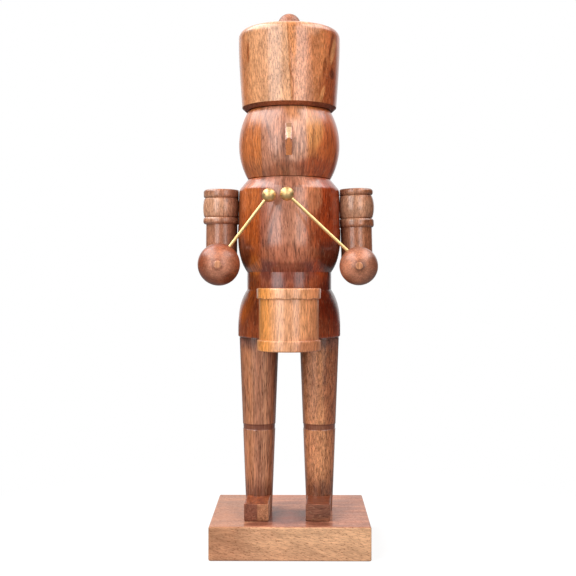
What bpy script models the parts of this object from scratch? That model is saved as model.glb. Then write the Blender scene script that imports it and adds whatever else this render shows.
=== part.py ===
"""Turned wooden drummer figure: base, legs, torso, head, hat, swinging arms, drum and brass sticks.

Metres, +Z up. The figure faces -Y and stands on the middle of its base at the origin.
Left is the viewer's left, at -X. Each wooden or brass piece is one object.
"""

import math

import bmesh
import bpy
from mathutils import Matrix, Vector

MM = 0.001

# Fits
GAP = 0.3 * MM  # clearance between pieces that touch or plug together

# Base block
BASE_WIDTH = 109.5 * MM
BASE_DEPTH = 100 * MM
BASE_HEIGHT = 23 * MM
BASE_SHIFT = 0.8 * MM  # middle of the base, to the right of the figure's middle
BASE_EDGE = 1.0 * MM

# Legs, straight tapers with a scored band at boot height
LEG_LENGTH = 124.4 * MM
LEG_FOOT_RADIUS = 9.3 * MM
LEG_TOP_RADIUS = 14.1 * MM
LEG_SPREAD = 15.0 * MM  # clear space between the two legs at the top
BAND_RISE = 58.8 * MM  # underside of the band above the leg's foot
BAND_HEIGHT = 3.1 * MM
BAND_DEPTH = 0.5 * MM
BAND_BEVEL = 0.3 * MM

# Feet, blocks coped round the fronts of the legs
FOOT_WIDTH = 16.8 * MM
FOOT_HEIGHT = 11.7 * MM
FOOT_REACH = 34.8 * MM  # toe ahead of the leg's axis
FOOT_EDGE = 0.5 * MM
LEFT_FOOT_TURN = math.radians(1.3)
RIGHT_FOOT_TURN = math.radians(2.8)

# Torso, turned in one piece
BELLY_RADIUS = 36.6 * MM
WAIST_RADIUS = 30.2 * MM
CHEST_RADIUS = 36.8 * MM
SHOULDER_RADIUS = 35.8 * MM
NECK_RADIUS = 29.5 * MM
HEM_HEIGHT = 4.1 * MM  # straight stretch above the hem
SKIRT_HEIGHT = 29.5 * MM  # from there up to the waist
WAIST_HEIGHT = 12.5 * MM
LOW_CHEST_HEIGHT = 28.8 * MM
HIGH_CHEST_HEIGHT = 30.0 * MM
SHOULDER_HEIGHT = 7.4 * MM
HEM_EDGE = 1.0 * MM
SHOULDER_EDGE = 5.0 * MM

# Head and nose
HEAD_RADIUS = 36.1 * MM
HEAD_END_RADIUS = 29.6 * MM
HEAD_HEIGHT = 48.5 * MM
NOSE_WIDTH = 5.3 * MM
NOSE_HEIGHT = 22.0 * MM
NOSE_RISE = 13.6 * MM  # foot of the nose above the head's lower end
NOSE_TIP_DROP = 11.2 * MM  # tip below the top of the nose
NOSE_REACH = 6.5 * MM  # tip ahead of the head
NOSE_TENON = 5.0 * MM  # how deep the nose is let into the head

# Hat and knob
HAT_HEIGHT = 57.7 * MM
HAT_RIM_RADIUS = 33.8 * MM
HAT_TOP_RADIUS = 36.3 * MM
HAT_FOOT_RADIUS = 31.2 * MM
HAT_CHAMFER = 2.4 * MM
HAT_WALL = 12.0 * MM  # straight stretch below the top edge
HAT_EDGE = 7.0 * MM
KNOB_RADIUS = 8.3 * MM
KNOB_SINK = 4.2 * MM  # how far the ball's middle stands above the hat's top
KNOB_TENON_RADIUS = 4.0 * MM
KNOB_TENON = 10.0 * MM

# Drum, coped to the belly
DRUM_RADIUS = 20.5 * MM
DRUM_RIM_RADIUS = 21.9 * MM
DRUM_HEIGHT = 42.5 * MM
DRUM_TOP_RIM = 7.2 * MM
DRUM_LOW_RIM = 7.3 * MM
DRUM_HANG = 7.5 * MM  # drum below the hem
RIM_EDGE = 0.9 * MM

# Arms, from the shoulder peg outwards
SHOULDER_DROP = 19.2 * MM  # peg below the top of the torso
LEFT_TOP_RISE = 12.0 * MM  # top of the arm above the peg
RIGHT_TOP_RISE = 12.4 * MM
ARM_RADIUS = 11.3 * MM
ARM_FLAT = 12.5 * MM  # from the arm's axis to the flat that bears on the chest
SEAT_SINK = 0.8 * MM  # depth of the round seat cut in the chest for each arm
LEFT_TOP_BEAD_RADIUS = 13.3 * MM
RIGHT_TOP_BEAD_RADIUS = 12.6 * MM
LEFT_TOP_BEAD_HEIGHT = 6.0 * MM
RIGHT_TOP_BEAD_HEIGHT = 4.6 * MM
LEFT_SLEEVE_RADIUS = 13.6 * MM
RIGHT_SLEEVE_RADIUS = 13.2 * MM
LEFT_SLEEVE_END_RADIUS = 12.9 * MM
RIGHT_SLEEVE_END_RADIUS = 11.9 * MM
LEFT_SLEEVE_HEIGHT = 12.3 * MM
RIGHT_SLEEVE_HEIGHT = 15.1 * MM
LEFT_LOW_BEAD_RADIUS = 13.4 * MM
RIGHT_LOW_BEAD_RADIUS = 12.8 * MM
LEFT_LOW_BEAD_HEIGHT = 5.0 * MM
RIGHT_LOW_BEAD_HEIGHT = 6.4 * MM
BEAD_EDGE = 1.8 * MM
GROOVE_HEIGHT = 0.8 * MM
GROOVE_DEPTH = 0.9 * MM
LEFT_ELBOW_DROP = 42.1 * MM
RIGHT_ELBOW_DROP = 43.3 * MM
ARM_TOE_IN = math.radians(2.0)
LEFT_ARM_LEAN = math.radians(0.5)  # top of the upper arm towards the chest
RIGHT_ARM_LEAN = math.radians(1.3)
WRIST_RADIUS = 9.0 * MM
LEFT_HAND_RADIUS = 14.5 * MM
RIGHT_HAND_RADIUS = 13.2 * MM
LEFT_WRIST_PROUD = 0.0 * MM
RIGHT_WRIST_PROUD = 1.0 * MM

# Brass sticks
ROD_RADIUS = 1.1 * MM
TIP_RADIUS = 4.8 * MM
TIP_SEAT = 3.0 * MM  # rod inside the tip
STICK_AIR = 3.4 * MM  # between the chest and the tips
TIP_SPACE = 2.5 * MM  # between the two tips
TIPS_OFFSET = -7.3 * MM  # middle of the two tips from the figure's middle
LEFT_TIP_RISE = 46.9 * MM  # tip above its hand's middle
RIGHT_TIP_RISE = 49.0 * MM
LEFT_GRIP_OUT = 1.0 * MM  # where the rod aims, outwards from the hand's middle
RIGHT_GRIP_OUT = 1.8 * MM
LEFT_GRIP_UP = 1.2 * MM  # and above it
RIGHT_GRIP_UP = 1.7 * MM
GRIP_DEPTH = 7.0 * MM  # rod inside the hand

# Dowels and screws: radius, then depth in each piece
HIP_DOWEL_RADIUS = 4.0 * MM
HIP_DOWEL_DEPTH = 14.0 * MM
NECK_DOWEL_RADIUS = 6.0 * MM
NECK_DOWEL_DEPTH = 14.0 * MM
HAT_DOWEL_RADIUS = 6.0 * MM
HAT_DOWEL_DEPTH = 14.0 * MM
DRUM_DOWEL_RADIUS = 4.0 * MM
DRUM_DOWEL_DEPTH = 12.0 * MM
SHOULDER_DOWEL_RADIUS = 4.0 * MM
SHOULDER_DOWEL_DEPTH = 15.0 * MM
ELBOW_DOWEL_RADIUS = 3.0 * MM
ELBOW_DOWEL_DEPTH = 8.0 * MM
WRIST_DOWEL_RADIUS = 2.5 * MM
WRIST_DOWEL_DEPTH = 12.0 * MM
DOWEL_CHAMFER = 0.5 * MM
SCREW_RADIUS = 2.0 * MM
SCREW_HEAD_RADIUS = 4.0 * MM
SCREW_BITE = 16.0 * MM  # screw inside the leg
SCREW_SINK = 1.0 * MM  # head below the base's underside
SCREW_SLOT = 1.2 * MM

# Facets
BIG_STEPS = 32
ARM_STEPS = 20
SMALL_STEPS = 12
ARC_STEPS = 3
OVERSHOOT = 5.0 * MM  # how far a cutter runs past what it cuts

# Heights, from the base up
LEG_FOOT_Z = BASE_HEIGHT + GAP
LEG_TOP_Z = LEG_FOOT_Z + LEG_LENGTH
HEM_Z = LEG_TOP_Z + GAP
BELLY_Z = HEM_Z + HEM_HEIGHT
WAIST_LOW_Z = BELLY_Z + SKIRT_HEIGHT
WAIST_HIGH_Z = WAIST_LOW_Z + WAIST_HEIGHT
CHEST_Z = WAIST_HIGH_Z + LOW_CHEST_HEIGHT
SHOULDER_Z = CHEST_Z + HIGH_CHEST_HEIGHT
NECK_Z = SHOULDER_Z + SHOULDER_HEIGHT
HEAD_Z = NECK_Z + GAP
HEAD_TOP_Z = HEAD_Z + HEAD_HEIGHT
HAT_Z = HEAD_TOP_Z + GAP
HAT_TOP_Z = HAT_Z + HAT_HEIGHT
DRUM_Z = HEM_Z - DRUM_HANG
PEG_Z = NECK_Z - SHOULDER_DROP

# Places across and ahead
LEG_X = LEG_TOP_RADIUS + LEG_SPREAD / 2
SEAT_X = CHEST_RADIUS - SEAT_SINK
FLAT_X = SEAT_X + GAP
ARM_X = FLAT_X + ARM_FLAT
STICK_Y = -(CHEST_RADIUS + STICK_AIR + TIP_RADIUS)
DRUM_Y = -BELLY_RADIUS

UP = Vector((0, 0, 1))
FORWARD = Vector((0, -1, 0))


def clear_scene():
    for item in list(bpy.data.objects):
        bpy.data.objects.remove(item, do_unlink=True)


def new_collection(name):
    collection = bpy.data.collections.new(name)
    bpy.context.scene.collection.children.link(collection)
    return collection


def new_material(name, colour, roughness, metallic=0.0):
    material = bpy.data.materials.new(name)
    material.use_nodes = True
    shader = material.node_tree.nodes["Principled BSDF"]
    shader.inputs["Base Color"].default_value = (*colour, 1.0)
    shader.inputs["Roughness"].default_value = roughness
    shader.inputs["Metallic"].default_value = metallic
    return material


def frame_along(origin, direction):
    """Matrix that puts local Z along a direction, with its zero at origin."""
    turn = direction.to_track_quat("Z", "Y")
    return Matrix.Translation(origin) @ turn.to_matrix().to_4x4()


def corner(radius, height, fillet=0.0):
    return (radius, height, fillet)


def rounded(corners):
    """Outline through the corners, each fillet an arc that meets both neighbouring sides smoothly."""
    outline = []
    for index, (radius, height, fillet) in enumerate(corners):
        here = Vector((radius, height))
        if not fillet:
            outline.append(here)
            continue
        before = Vector(corners[index - 1][:2]) - here
        after = Vector(corners[index + 1][:2]) - here
        half_angle = before.angle(after) / 2
        reach = min(fillet / math.tan(half_angle), before.length * 0.49, after.length * 0.49)
        before.normalize()
        after.normalize()
        centre = here + (before + after).normalized() * reach / math.cos(half_angle)
        start = here + before * reach - centre
        end = here + after * reach - centre
        first = math.atan2(start.y, start.x)
        sweep = (math.atan2(end.y, end.x) - first + math.pi) % math.tau - math.pi
        for step in range(ARC_STEPS + 1):
            angle = first + sweep * step / ARC_STEPS
            outline.append(centre + Vector((math.cos(angle), math.sin(angle))) * start.length)
    return outline


def swell(wide, narrow, steps, power):
    """Corners from a wide place towards a narrow one, falling away as a power of the way between."""
    corners = []
    for step in range(1, steps):
        way = step / steps
        radius = wide[0] + (narrow[0] - wide[0]) * way**power
        corners.append(corner(radius, wide[1] + (narrow[1] - wide[1]) * way))
    return corners


def arc_corners(radius, first, last, steps):
    """Corners on a ball round the local zero, by angle from its top pole."""
    angles = [first + (last - first) * step / steps for step in range(steps + 1)]
    return [corner(radius * math.sin(angle), radius * math.cos(angle)) for angle in angles]


def place(name, mesh, collection, matrix, material=None):
    item = bpy.data.objects.new(name, mesh)
    if material:
        mesh.materials.append(material)
    collection.objects.link(item)
    item.matrix_world = matrix
    return item


def turned(name, corners, matrix, collection, material=None, steps=BIG_STEPS):
    """Solid of revolution: an outline from top to bottom, spun round local Z by a Screw."""
    outline = [Vector((0, corners[0][1])), *rounded(corners), Vector((0, corners[-1][1]))]
    mesh = bpy.data.meshes.new(name)
    edges = [(index, index + 1) for index in range(len(outline) - 1)]
    mesh.from_pydata([(point.x, 0, point.y) for point in outline], edges, [])
    item = place(name, mesh, collection, matrix, material)
    spin = item.modifiers.new("spin", "SCREW")
    spin.steps = steps
    spin.render_steps = steps
    spin.use_merge_vertices = True
    spin.merge_threshold = 0.00001
    spin.use_smooth_shade = True
    return item


def block(name, low, high, matrix, collection, material=None, edge=0.0):
    """Box between two local corners, with its edges bevelled."""
    mesh = bpy.data.meshes.new(name)
    shape = bmesh.new()
    bmesh.ops.create_cube(shape, size=1.0)
    size = [far - near for near, far in zip(low, high)]
    middle = [(far + near) / 2 for near, far in zip(low, high)]
    bmesh.ops.transform(shape, matrix=Matrix.Diagonal((*size, 1)), verts=shape.verts)
    bmesh.ops.translate(shape, vec=middle, verts=shape.verts)
    shape.to_mesh(mesh)
    shape.free()
    item = place(name, mesh, collection, matrix, material)
    if edge:
        bevel = item.modifiers.new("eased edges", "BEVEL")
        bevel.width = edge
        bevel.segments = 2
    return item


def cut(item, cutter):
    cutter.hide_render = True
    cutter.display_type = "WIRE"
    boolean = item.modifiers.new("cut by " + cutter.name, "BOOLEAN")
    boolean.operation = "DIFFERENCE"
    boolean.object = cutter


def bar_corners(radius, length, chamfer):
    """Outline of a round bar from local zero up, with chamfered ends."""
    return [
        corner(radius - chamfer, length),
        corner(radius, length - chamfer),
        corner(radius, chamfer),
        corner(radius - chamfer, 0),
    ]


def bore(name, start, end, radius, pieces):
    """Round hole from start to end through each of the pieces."""
    corners = [corner(radius, (end - start).length), corner(radius, 0)]
    cutter = turned(name + "_hole", corners, frame_along(start, end - start), cutters, steps=SMALL_STEPS)
    for piece in pieces:
        cut(piece, cutter)


def dowel(name, seat, direction, depths, radius, pieces, material):
    """Glued dowel across a joint, reaching depths[0] behind the seat and depths[1] past it, and its hole."""
    start = seat - direction * depths[0]
    end = seat + direction * depths[1]
    corners = bar_corners(radius, (end - start).length, DOWEL_CHAMFER)
    item = turned(name, corners, frame_along(start, end - start), figure, material, SMALL_STEPS)
    bore(name, start - direction * GAP, end + direction * GAP, radius + GAP, pieces)
    return item


def leg_radius(height):
    return LEG_FOOT_RADIUS + (LEG_TOP_RADIUS - LEG_FOOT_RADIUS) * height / LEG_LENGTH


def head_radius(height):
    """Barrel of the head: a circular arc between equal ends."""
    half = HEAD_HEIGHT / 2
    bulge = HEAD_RADIUS - HEAD_END_RADIUS
    arc = (half**2 + bulge**2) / (2 * bulge)
    return HEAD_RADIUS - arc + math.sqrt(arc**2 - (height - half) ** 2)


def make_base():
    low = (-BASE_WIDTH / 2, -BASE_DEPTH / 2, 0)
    high = (BASE_WIDTH / 2, BASE_DEPTH / 2, BASE_HEIGHT)
    matrix = Matrix.Translation((BASE_SHIFT, 0, 0))
    return block("base_block", low, high, matrix, figure, light_wood, BASE_EDGE)


def make_leg(side, sign):
    band_top = BAND_RISE + BAND_HEIGHT
    corners = [
        corner(LEG_TOP_RADIUS, LEG_LENGTH),
        corner(leg_radius(band_top + BAND_BEVEL), band_top + BAND_BEVEL),
        corner(leg_radius(band_top) - BAND_DEPTH, band_top),
        corner(leg_radius(BAND_RISE) - BAND_DEPTH, BAND_RISE),
        corner(leg_radius(BAND_RISE - BAND_BEVEL), BAND_RISE - BAND_BEVEL),
        corner(LEG_FOOT_RADIUS, 0),
    ]
    matrix = Matrix.Translation((sign * LEG_X, 0, LEG_FOOT_Z))
    return turned("leg_" + side, corners, matrix, figure, leg_wood, ARM_STEPS)


def make_leg_screw(side, sign, base, leg):
    """Countersunk screw, head down in the base, with its slot and its hole."""
    head_height = SCREW_HEAD_RADIUS - SCREW_RADIUS
    length = LEG_FOOT_Z + SCREW_BITE - SCREW_SINK
    foot = Vector((sign * LEG_X, 0, SCREW_SINK))
    corners = [
        corner(SCREW_RADIUS / 2, length),
        corner(SCREW_RADIUS, length - SCREW_RADIUS),
        corner(SCREW_RADIUS, head_height),
        corner(SCREW_HEAD_RADIUS, 0),
    ]
    matrix = Matrix.Translation(foot)
    screw = turned("leg_screw_" + side, corners, matrix, figure, steel, SMALL_STEPS)
    slot_low = (-SCREW_HEAD_RADIUS - OVERSHOOT, -SCREW_SLOT / 2, -OVERSHOOT)
    slot_high = (SCREW_HEAD_RADIUS + OVERSHOOT, SCREW_SLOT / 2, SCREW_SLOT)
    cut(screw, block("slot_" + side, slot_low, slot_high, matrix, cutters))
    hole = [
        corner(SCREW_RADIUS + GAP, length + GAP),
        corner(SCREW_RADIUS + GAP, head_height),
        corner(SCREW_HEAD_RADIUS + GAP, 0),
        corner(SCREW_HEAD_RADIUS + GAP, -SCREW_SINK - OVERSHOOT),
    ]
    cutter = turned("screw_hole_" + side, hole, matrix, cutters, steps=SMALL_STEPS)
    cut(base, cutter)
    cut(leg, cutter)


def make_foot(side, sign, turn):
    """Toe block, its heel hollowed to fit round the front of the leg."""
    matrix = Matrix.Translation((sign * LEG_X, 0, LEG_FOOT_Z)) @ Matrix.Rotation(-turn, 4, "Z")
    low = (-FOOT_WIDTH / 2, -FOOT_REACH, 0)
    high = (FOOT_WIDTH / 2, -LEG_FOOT_RADIUS / 2, FOOT_HEIGHT)
    foot = block("foot_" + side, low, high, matrix, figure, leg_wood, FOOT_EDGE)
    top = FOOT_HEIGHT + OVERSHOOT
    cope = [
        corner(leg_radius(top) + GAP, top),
        corner(leg_radius(-OVERSHOOT) + GAP, -OVERSHOOT),
    ]
    place_leg = Matrix.Translation((sign * LEG_X, 0, LEG_FOOT_Z))
    cut(foot, turned("heel_" + side, cope, place_leg, cutters, steps=ARM_STEPS))
    return foot


def make_torso():
    """Neck, sloped shoulder, barrel chest, straight waist, bell skirt and hem, from top to bottom."""
    shoulder = (SHOULDER_RADIUS, SHOULDER_Z)
    chest = (CHEST_RADIUS, CHEST_Z)
    waist_high = (WAIST_RADIUS, WAIST_HIGH_Z)
    waist_low = (WAIST_RADIUS, WAIST_LOW_Z)
    belly = (BELLY_RADIUS, BELLY_Z)
    corners = [
        corner(NECK_RADIUS, NECK_Z),
        corner(*shoulder, SHOULDER_EDGE),
        *reversed(swell(chest, shoulder, 3, 2)),
        corner(*chest),
        *swell(chest, waist_high, 7, 3),
        corner(*waist_high),
        corner(*waist_low),
        *reversed(swell(belly, waist_low, 7, 3)),
        corner(*belly),
        corner(BELLY_RADIUS, HEM_Z, HEM_EDGE),
        corner(0, HEM_Z),
    ]
    return turned("torso", corners, Matrix(), figure, body_wood)


def make_head():
    levels = [HEAD_HEIGHT * (1 - step / 10) for step in range(11)]
    corners = [corner(head_radius(level), level) for level in levels]
    return turned("head", corners, Matrix.Translation((0, 0, HEAD_Z)), figure, body_wood)


def make_nose(head):
    """Wedge seen from the side as a flat outline, as thick as the nose is wide, in a slot in the head."""
    top = NOSE_RISE + NOSE_HEIGHT
    tip = top - NOSE_TIP_DROP
    back = min(head_radius(NOSE_RISE), head_radius(top)) - NOSE_TENON
    side_view = [
        (back, NOSE_RISE),
        (head_radius(NOSE_RISE), NOSE_RISE),
        (head_radius(tip) + NOSE_REACH, tip),
        (head_radius(top), top),
        (back, top),
    ]
    curve = bpy.data.curves.new("nose", "CURVE")
    curve.dimensions = "2D"
    curve.fill_mode = "BOTH"
    curve.extrude = NOSE_WIDTH / 2
    spline = curve.splines.new("POLY")
    spline.points.add(len(side_view) - 1)
    for point, (ahead, level) in zip(spline.points, side_view):
        point.co = (ahead, level, 0, 1)
    spline.use_cyclic_u = True
    # The curve's own X runs ahead of the figure, its Y runs up, and its thickness lies across.
    axes = Matrix((FORWARD, UP, (-1, 0, 0))).transposed().to_4x4()
    nose = place("nose", curve, figure, Matrix.Translation((0, 0, HEAD_Z)) @ axes, body_wood)
    slot_low = (-NOSE_WIDTH / 2 - GAP, -HEAD_RADIUS - OVERSHOOT, NOSE_RISE - GAP)
    slot_high = (NOSE_WIDTH / 2 + GAP, -back + GAP, top + GAP)
    cut(head, block("nose_slot", slot_low, slot_high, Matrix.Translation((0, 0, HEAD_Z)), cutters))
    return nose


def make_hat():
    """Cap with a rounded top edge, sides that draw in towards the rim, and a chamfer under the rim."""
    wall_foot = HAT_HEIGHT - HAT_WALL
    top_edge = (HAT_TOP_RADIUS, wall_foot)
    rim = (HAT_RIM_RADIUS, HAT_CHAMFER)
    corners = [
        corner(0, HAT_HEIGHT),
        corner(HAT_TOP_RADIUS, HAT_HEIGHT, HAT_EDGE),
        corner(*top_edge),
        *swell(top_edge, rim, 5, 1.4),
        corner(*rim),
        corner(HAT_FOOT_RADIUS, 0),
    ]
    return turned("hat", corners, Matrix.Translation((0, 0, HAT_Z)), figure, light_wood)


def make_knob(hat):
    """Ball with a turned tenon that plugs into the top of the hat."""
    seat_radius = math.sqrt(KNOB_RADIUS**2 - KNOB_SINK**2)
    seat_angle = math.pi - math.atan2(seat_radius, KNOB_SINK)
    corners = [
        *arc_corners(KNOB_RADIUS, 0, seat_angle, 7),
        corner(KNOB_TENON_RADIUS, -KNOB_SINK),
        corner(KNOB_TENON_RADIUS, -KNOB_SINK - KNOB_TENON),
    ]
    middle = Vector((0, 0, HAT_TOP_Z + GAP + KNOB_SINK))
    knob = turned("hat_knob", corners, Matrix.Translation(middle), figure, leg_wood, SMALL_STEPS)
    foot = Vector((0, 0, HAT_TOP_Z - KNOB_TENON))
    bore("knob_tenon", foot, foot + UP * (KNOB_TENON + OVERSHOOT), KNOB_TENON_RADIUS + GAP, [hat])
    return knob


def make_drum():
    """Turned drum with two rims, its back hollowed to the belly."""
    low_rim = DRUM_LOW_RIM
    top_rim = DRUM_HEIGHT - DRUM_TOP_RIM
    corners = [
        corner(0, DRUM_HEIGHT),
        corner(DRUM_RIM_RADIUS, DRUM_HEIGHT, RIM_EDGE),
        corner(DRUM_RIM_RADIUS, top_rim, RIM_EDGE),
        corner(DRUM_RADIUS, top_rim),
        corner(DRUM_RADIUS, low_rim),
        corner(DRUM_RIM_RADIUS, low_rim, RIM_EDGE),
        corner(DRUM_RIM_RADIUS, 0, RIM_EDGE),
        corner(0, 0),
    ]
    drum = turned("drum", corners, Matrix.Translation((0, DRUM_Y, DRUM_Z)), figure, light_wood)
    fit = BELLY_RADIUS + GAP
    cope = [corner(fit, DRUM_HEIGHT + OVERSHOOT), corner(fit, -OVERSHOOT)]
    cut(drum, turned("belly_hollow", cope, Matrix.Translation((0, 0, DRUM_Z)), cutters))
    return drum


def upper_arm_corners(top_rise, top_bead, sleeve, low_bead, elbow_drop):
    """Top bead, swelling sleeve, lower bead and plain arm, as heights from the elbow."""
    top_bead_radius, top_bead_height = top_bead
    sleeve_radius, sleeve_end, sleeve_height = sleeve
    low_bead_radius, low_bead_height = low_bead
    top = elbow_drop + top_rise
    groove = sleeve_end - GROOVE_DEPTH
    top_bead_low = top - top_bead_height
    sleeve_top = top_bead_low - GROOVE_HEIGHT
    sleeve_low = sleeve_top - sleeve_height
    bead_top = sleeve_low - GROOVE_HEIGHT
    bead_low = bead_top - low_bead_height
    middle = (sleeve_radius, (sleeve_top + sleeve_low) / 2)
    return [
        corner(0, top),
        corner(top_bead_radius, top, BEAD_EDGE),
        corner(top_bead_radius, top_bead_low, BEAD_EDGE),
        corner(groove, top_bead_low),
        corner(sleeve_end, sleeve_top),
        *reversed(swell(middle, (sleeve_end, sleeve_top), 3, 2)),
        corner(*middle),
        *swell(middle, (sleeve_end, sleeve_low), 3, 2),
        corner(sleeve_end, sleeve_low),
        corner(groove, bead_top),
        corner(low_bead_radius, bead_top, BEAD_EDGE),
        corner(low_bead_radius, bead_low, BEAD_EDGE),
        corner(ARM_RADIUS, bead_low),
        corner(ARM_RADIUS, -ARM_RADIUS - OVERSHOOT),
    ]


def seat_radius(top_rise, top_bead, sleeve, low_bead, elbow_drop, lean):
    """Reach from the peg to the lowest place where the lower bead dips inside the chest's round."""
    low_bead_radius, low_bead_height = low_bead
    bead_low = top_bead[1] + sleeve[2] + low_bead_height + 2 * GROOVE_HEIGHT - top_rise
    axis_x = ARM_X - (elbow_drop - bead_low) * math.tan(lean)
    inner_low = bead_low + low_bead_radius * math.sin(lean)
    dip = max(low_bead_radius**2 - (axis_x - CHEST_RADIUS) ** 2, 0)
    return math.hypot(inner_low, math.sqrt(dip)) + GAP


def make_arm(side, sign, turning, elbow_drop, lean, hand_radius, wrist_proud, stick, torso):
    """One arm on its peg: upper arm, mitred forearm, ball hand, brass stick and the dowels between."""
    peg = Vector((sign * FLAT_X, 0, PEG_Z))
    elbow = Vector((sign * ARM_X, 0, PEG_Z - elbow_drop))
    arm_turn = Matrix.Rotation(-sign * ARM_TOE_IN, 4, "Z")
    ahead = arm_turn @ FORWARD
    hand_ahead = -STICK_Y / math.cos(ARM_TOE_IN)
    hand = elbow + ahead * hand_ahead
    wrist_seat = math.sqrt(hand_radius**2 - WRIST_RADIUS**2)
    wrist = hand - ahead * (wrist_seat + GAP)

    matrix = Matrix.Translation(elbow) @ arm_turn @ Matrix.Rotation(-sign * lean, 4, "Y")
    arm = upper_arm_corners(*turning, elbow_drop)
    upper = turned("upper_arm_" + side, arm, matrix, figure, arm_wood, ARM_STEPS)
    forearm_length = hand_ahead - wrist_seat - GAP
    forearm_corners = [
        corner(WRIST_RADIUS, forearm_length),
        corner(ARM_RADIUS, forearm_length / 2),
        corner(ARM_RADIUS, -ARM_RADIUS - OVERSHOOT),
    ]
    forearm = turned(
        "forearm_" + side, forearm_corners, frame_along(elbow, ahead), figure, arm_wood, ARM_STEPS
    )

    # The elbow's mitre leans 45 degrees: the upper arm keeps what is above it, the forearm the rest.
    across_mitre = (UP - ahead).normalized()
    mitre = frame_along(elbow, across_mitre)
    wide = 4 * (ARM_RADIUS + OVERSHOOT)
    below_low, below_high = (-wide, -wide, -wide), (wide, wide, GAP / 2)
    above_low, above_high = (-wide, -wide, -GAP / 2), (wide, wide, 2 * wide)
    cut(upper, block("below_mitre_" + side, below_low, below_high, mitre, cutters))
    cut(forearm, block("above_mitre_" + side, above_low, above_high, mitre, cutters))

    # The flat that bears on the chest lies square to the peg, so the arm can swing past it.
    reach = elbow_drop + turning[0] + OVERSHOOT
    flat_low = (-FLAT_X, -reach, -reach)
    flat_high = (FLAT_X, reach, reach)
    cut(upper, block("chest_flat_" + side, flat_low, flat_high, Matrix.Translation((0, 0, PEG_Z)), cutters))

    # A round seat cut square to the peg takes the chest's round back to where the arm bears.
    outward = Vector((sign, 0, 0))
    wide_seat = seat_radius(*turning, elbow_drop, lean)
    seat_corners = [corner(wide_seat, SEAT_SINK + OVERSHOOT), corner(wide_seat, 0)]
    seat_frame = frame_along(outward * SEAT_X + UP * PEG_Z, outward)
    cut(torso, turned("arm_seat_" + side, seat_corners, seat_frame, cutters, steps=ARM_STEPS))

    seat_angle = math.pi - math.asin(WRIST_RADIUS / hand_radius)
    ball_corners = arc_corners(hand_radius, 0, seat_angle, 10)
    ball = turned("hand_" + side, ball_corners, frame_along(hand, ahead), figure, arm_wood, ARM_STEPS)

    peg_depths = (SHOULDER_DOWEL_DEPTH + GAP, SHOULDER_DOWEL_DEPTH)
    dowel(
        "shoulder_dowel_" + side, peg, outward, peg_depths, SHOULDER_DOWEL_RADIUS, [torso, upper], arm_wood
    )
    pieces = [upper, forearm, ball]
    elbow_depths = (ELBOW_DOWEL_DEPTH, ELBOW_DOWEL_DEPTH)
    pieces.append(
        dowel(
            "elbow_dowel_" + side,
            elbow,
            across_mitre,
            elbow_depths,
            ELBOW_DOWEL_RADIUS,
            [upper, forearm],
            arm_wood,
        )
    )
    show = wrist_seat + GAP + hand_radius + wrist_proud
    wrist_depths = (WRIST_DOWEL_DEPTH, show)
    pieces.append(
        dowel(
            "wrist_dowel_" + side,
            wrist,
            ahead,
            wrist_depths,
            WRIST_DOWEL_RADIUS,
            [forearm, ball],
            light_wood,
        )
    )
    pieces += make_stick(side, sign, hand, hand_radius, stick, ball)

    pivot = bpy.data.objects.new("arm_pivot_" + side, None)
    pivot.location = peg
    figure.objects.link(pivot)
    for piece in pieces:
        piece.parent = pivot
        piece.matrix_parent_inverse = Matrix.Translation(peg).inverted()


def make_stick(side, sign, hand, hand_radius, stick, ball):
    """Brass rod from the hand to its ball tip in front of the chest."""
    tip_rise, grip_out, grip_up = stick
    tip_middle = Vector((TIPS_OFFSET + sign * (TIP_RADIUS + TIP_SPACE / 2), STICK_Y, hand.z + tip_rise))
    aim = hand + Vector((sign * grip_out, 0, grip_up))
    along = (tip_middle - aim).normalized()
    heel = aim + along * (hand_radius - GRIP_DEPTH)
    top = tip_middle - along * (TIP_RADIUS - TIP_SEAT)
    length = (top - heel).length
    rod_corners = [corner(ROD_RADIUS, length), corner(ROD_RADIUS, 0)]
    rod = turned("drumstick_rod_" + side, rod_corners, frame_along(heel, along), figure, brass, SMALL_STEPS)
    tip_corners = arc_corners(TIP_RADIUS, 0, math.pi, 8)
    tip_frame = frame_along(tip_middle, along)
    tip = turned("drumstick_tip_" + side, tip_corners, tip_frame, figure, brass, SMALL_STEPS)
    bore("stick_grip_" + side, heel - along * GAP, tip_middle, ROD_RADIUS + GAP, [ball])
    bore("stick_seat_" + side, heel, top + along * GAP, ROD_RADIUS + GAP, [tip])
    return [rod, tip]


clear_scene()
figure = new_collection("drummer_figure")
cutters = new_collection("cutters")
light_wood = new_material("light_wood", (0.55, 0.29, 0.14), 0.35)
body_wood = new_material("body_wood", (0.33, 0.12, 0.05), 0.32)
leg_wood = new_material("leg_wood", (0.36, 0.18, 0.09), 0.38)
arm_wood = new_material("arm_wood", (0.36, 0.17, 0.10), 0.38)
brass = new_material("brass", (0.75, 0.53, 0.20), 0.3, 1.0)
steel = new_material("steel", (0.55, 0.55, 0.56), 0.35, 1.0)

base_block = make_base()
torso = make_torso()
for side, sign, turn in (("left", -1, LEFT_FOOT_TURN), ("right", 1, RIGHT_FOOT_TURN)):
    leg = make_leg(side, sign)
    make_foot(side, sign, turn)
    make_leg_screw(side, sign, base_block, leg)
    hip = Vector((sign * LEG_X, 0, LEG_TOP_Z))
    hip_depths = (HIP_DOWEL_DEPTH, HIP_DOWEL_DEPTH + GAP)
    dowel("hip_dowel_" + side, hip, UP, hip_depths, HIP_DOWEL_RADIUS, [leg, torso], leg_wood)

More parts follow.
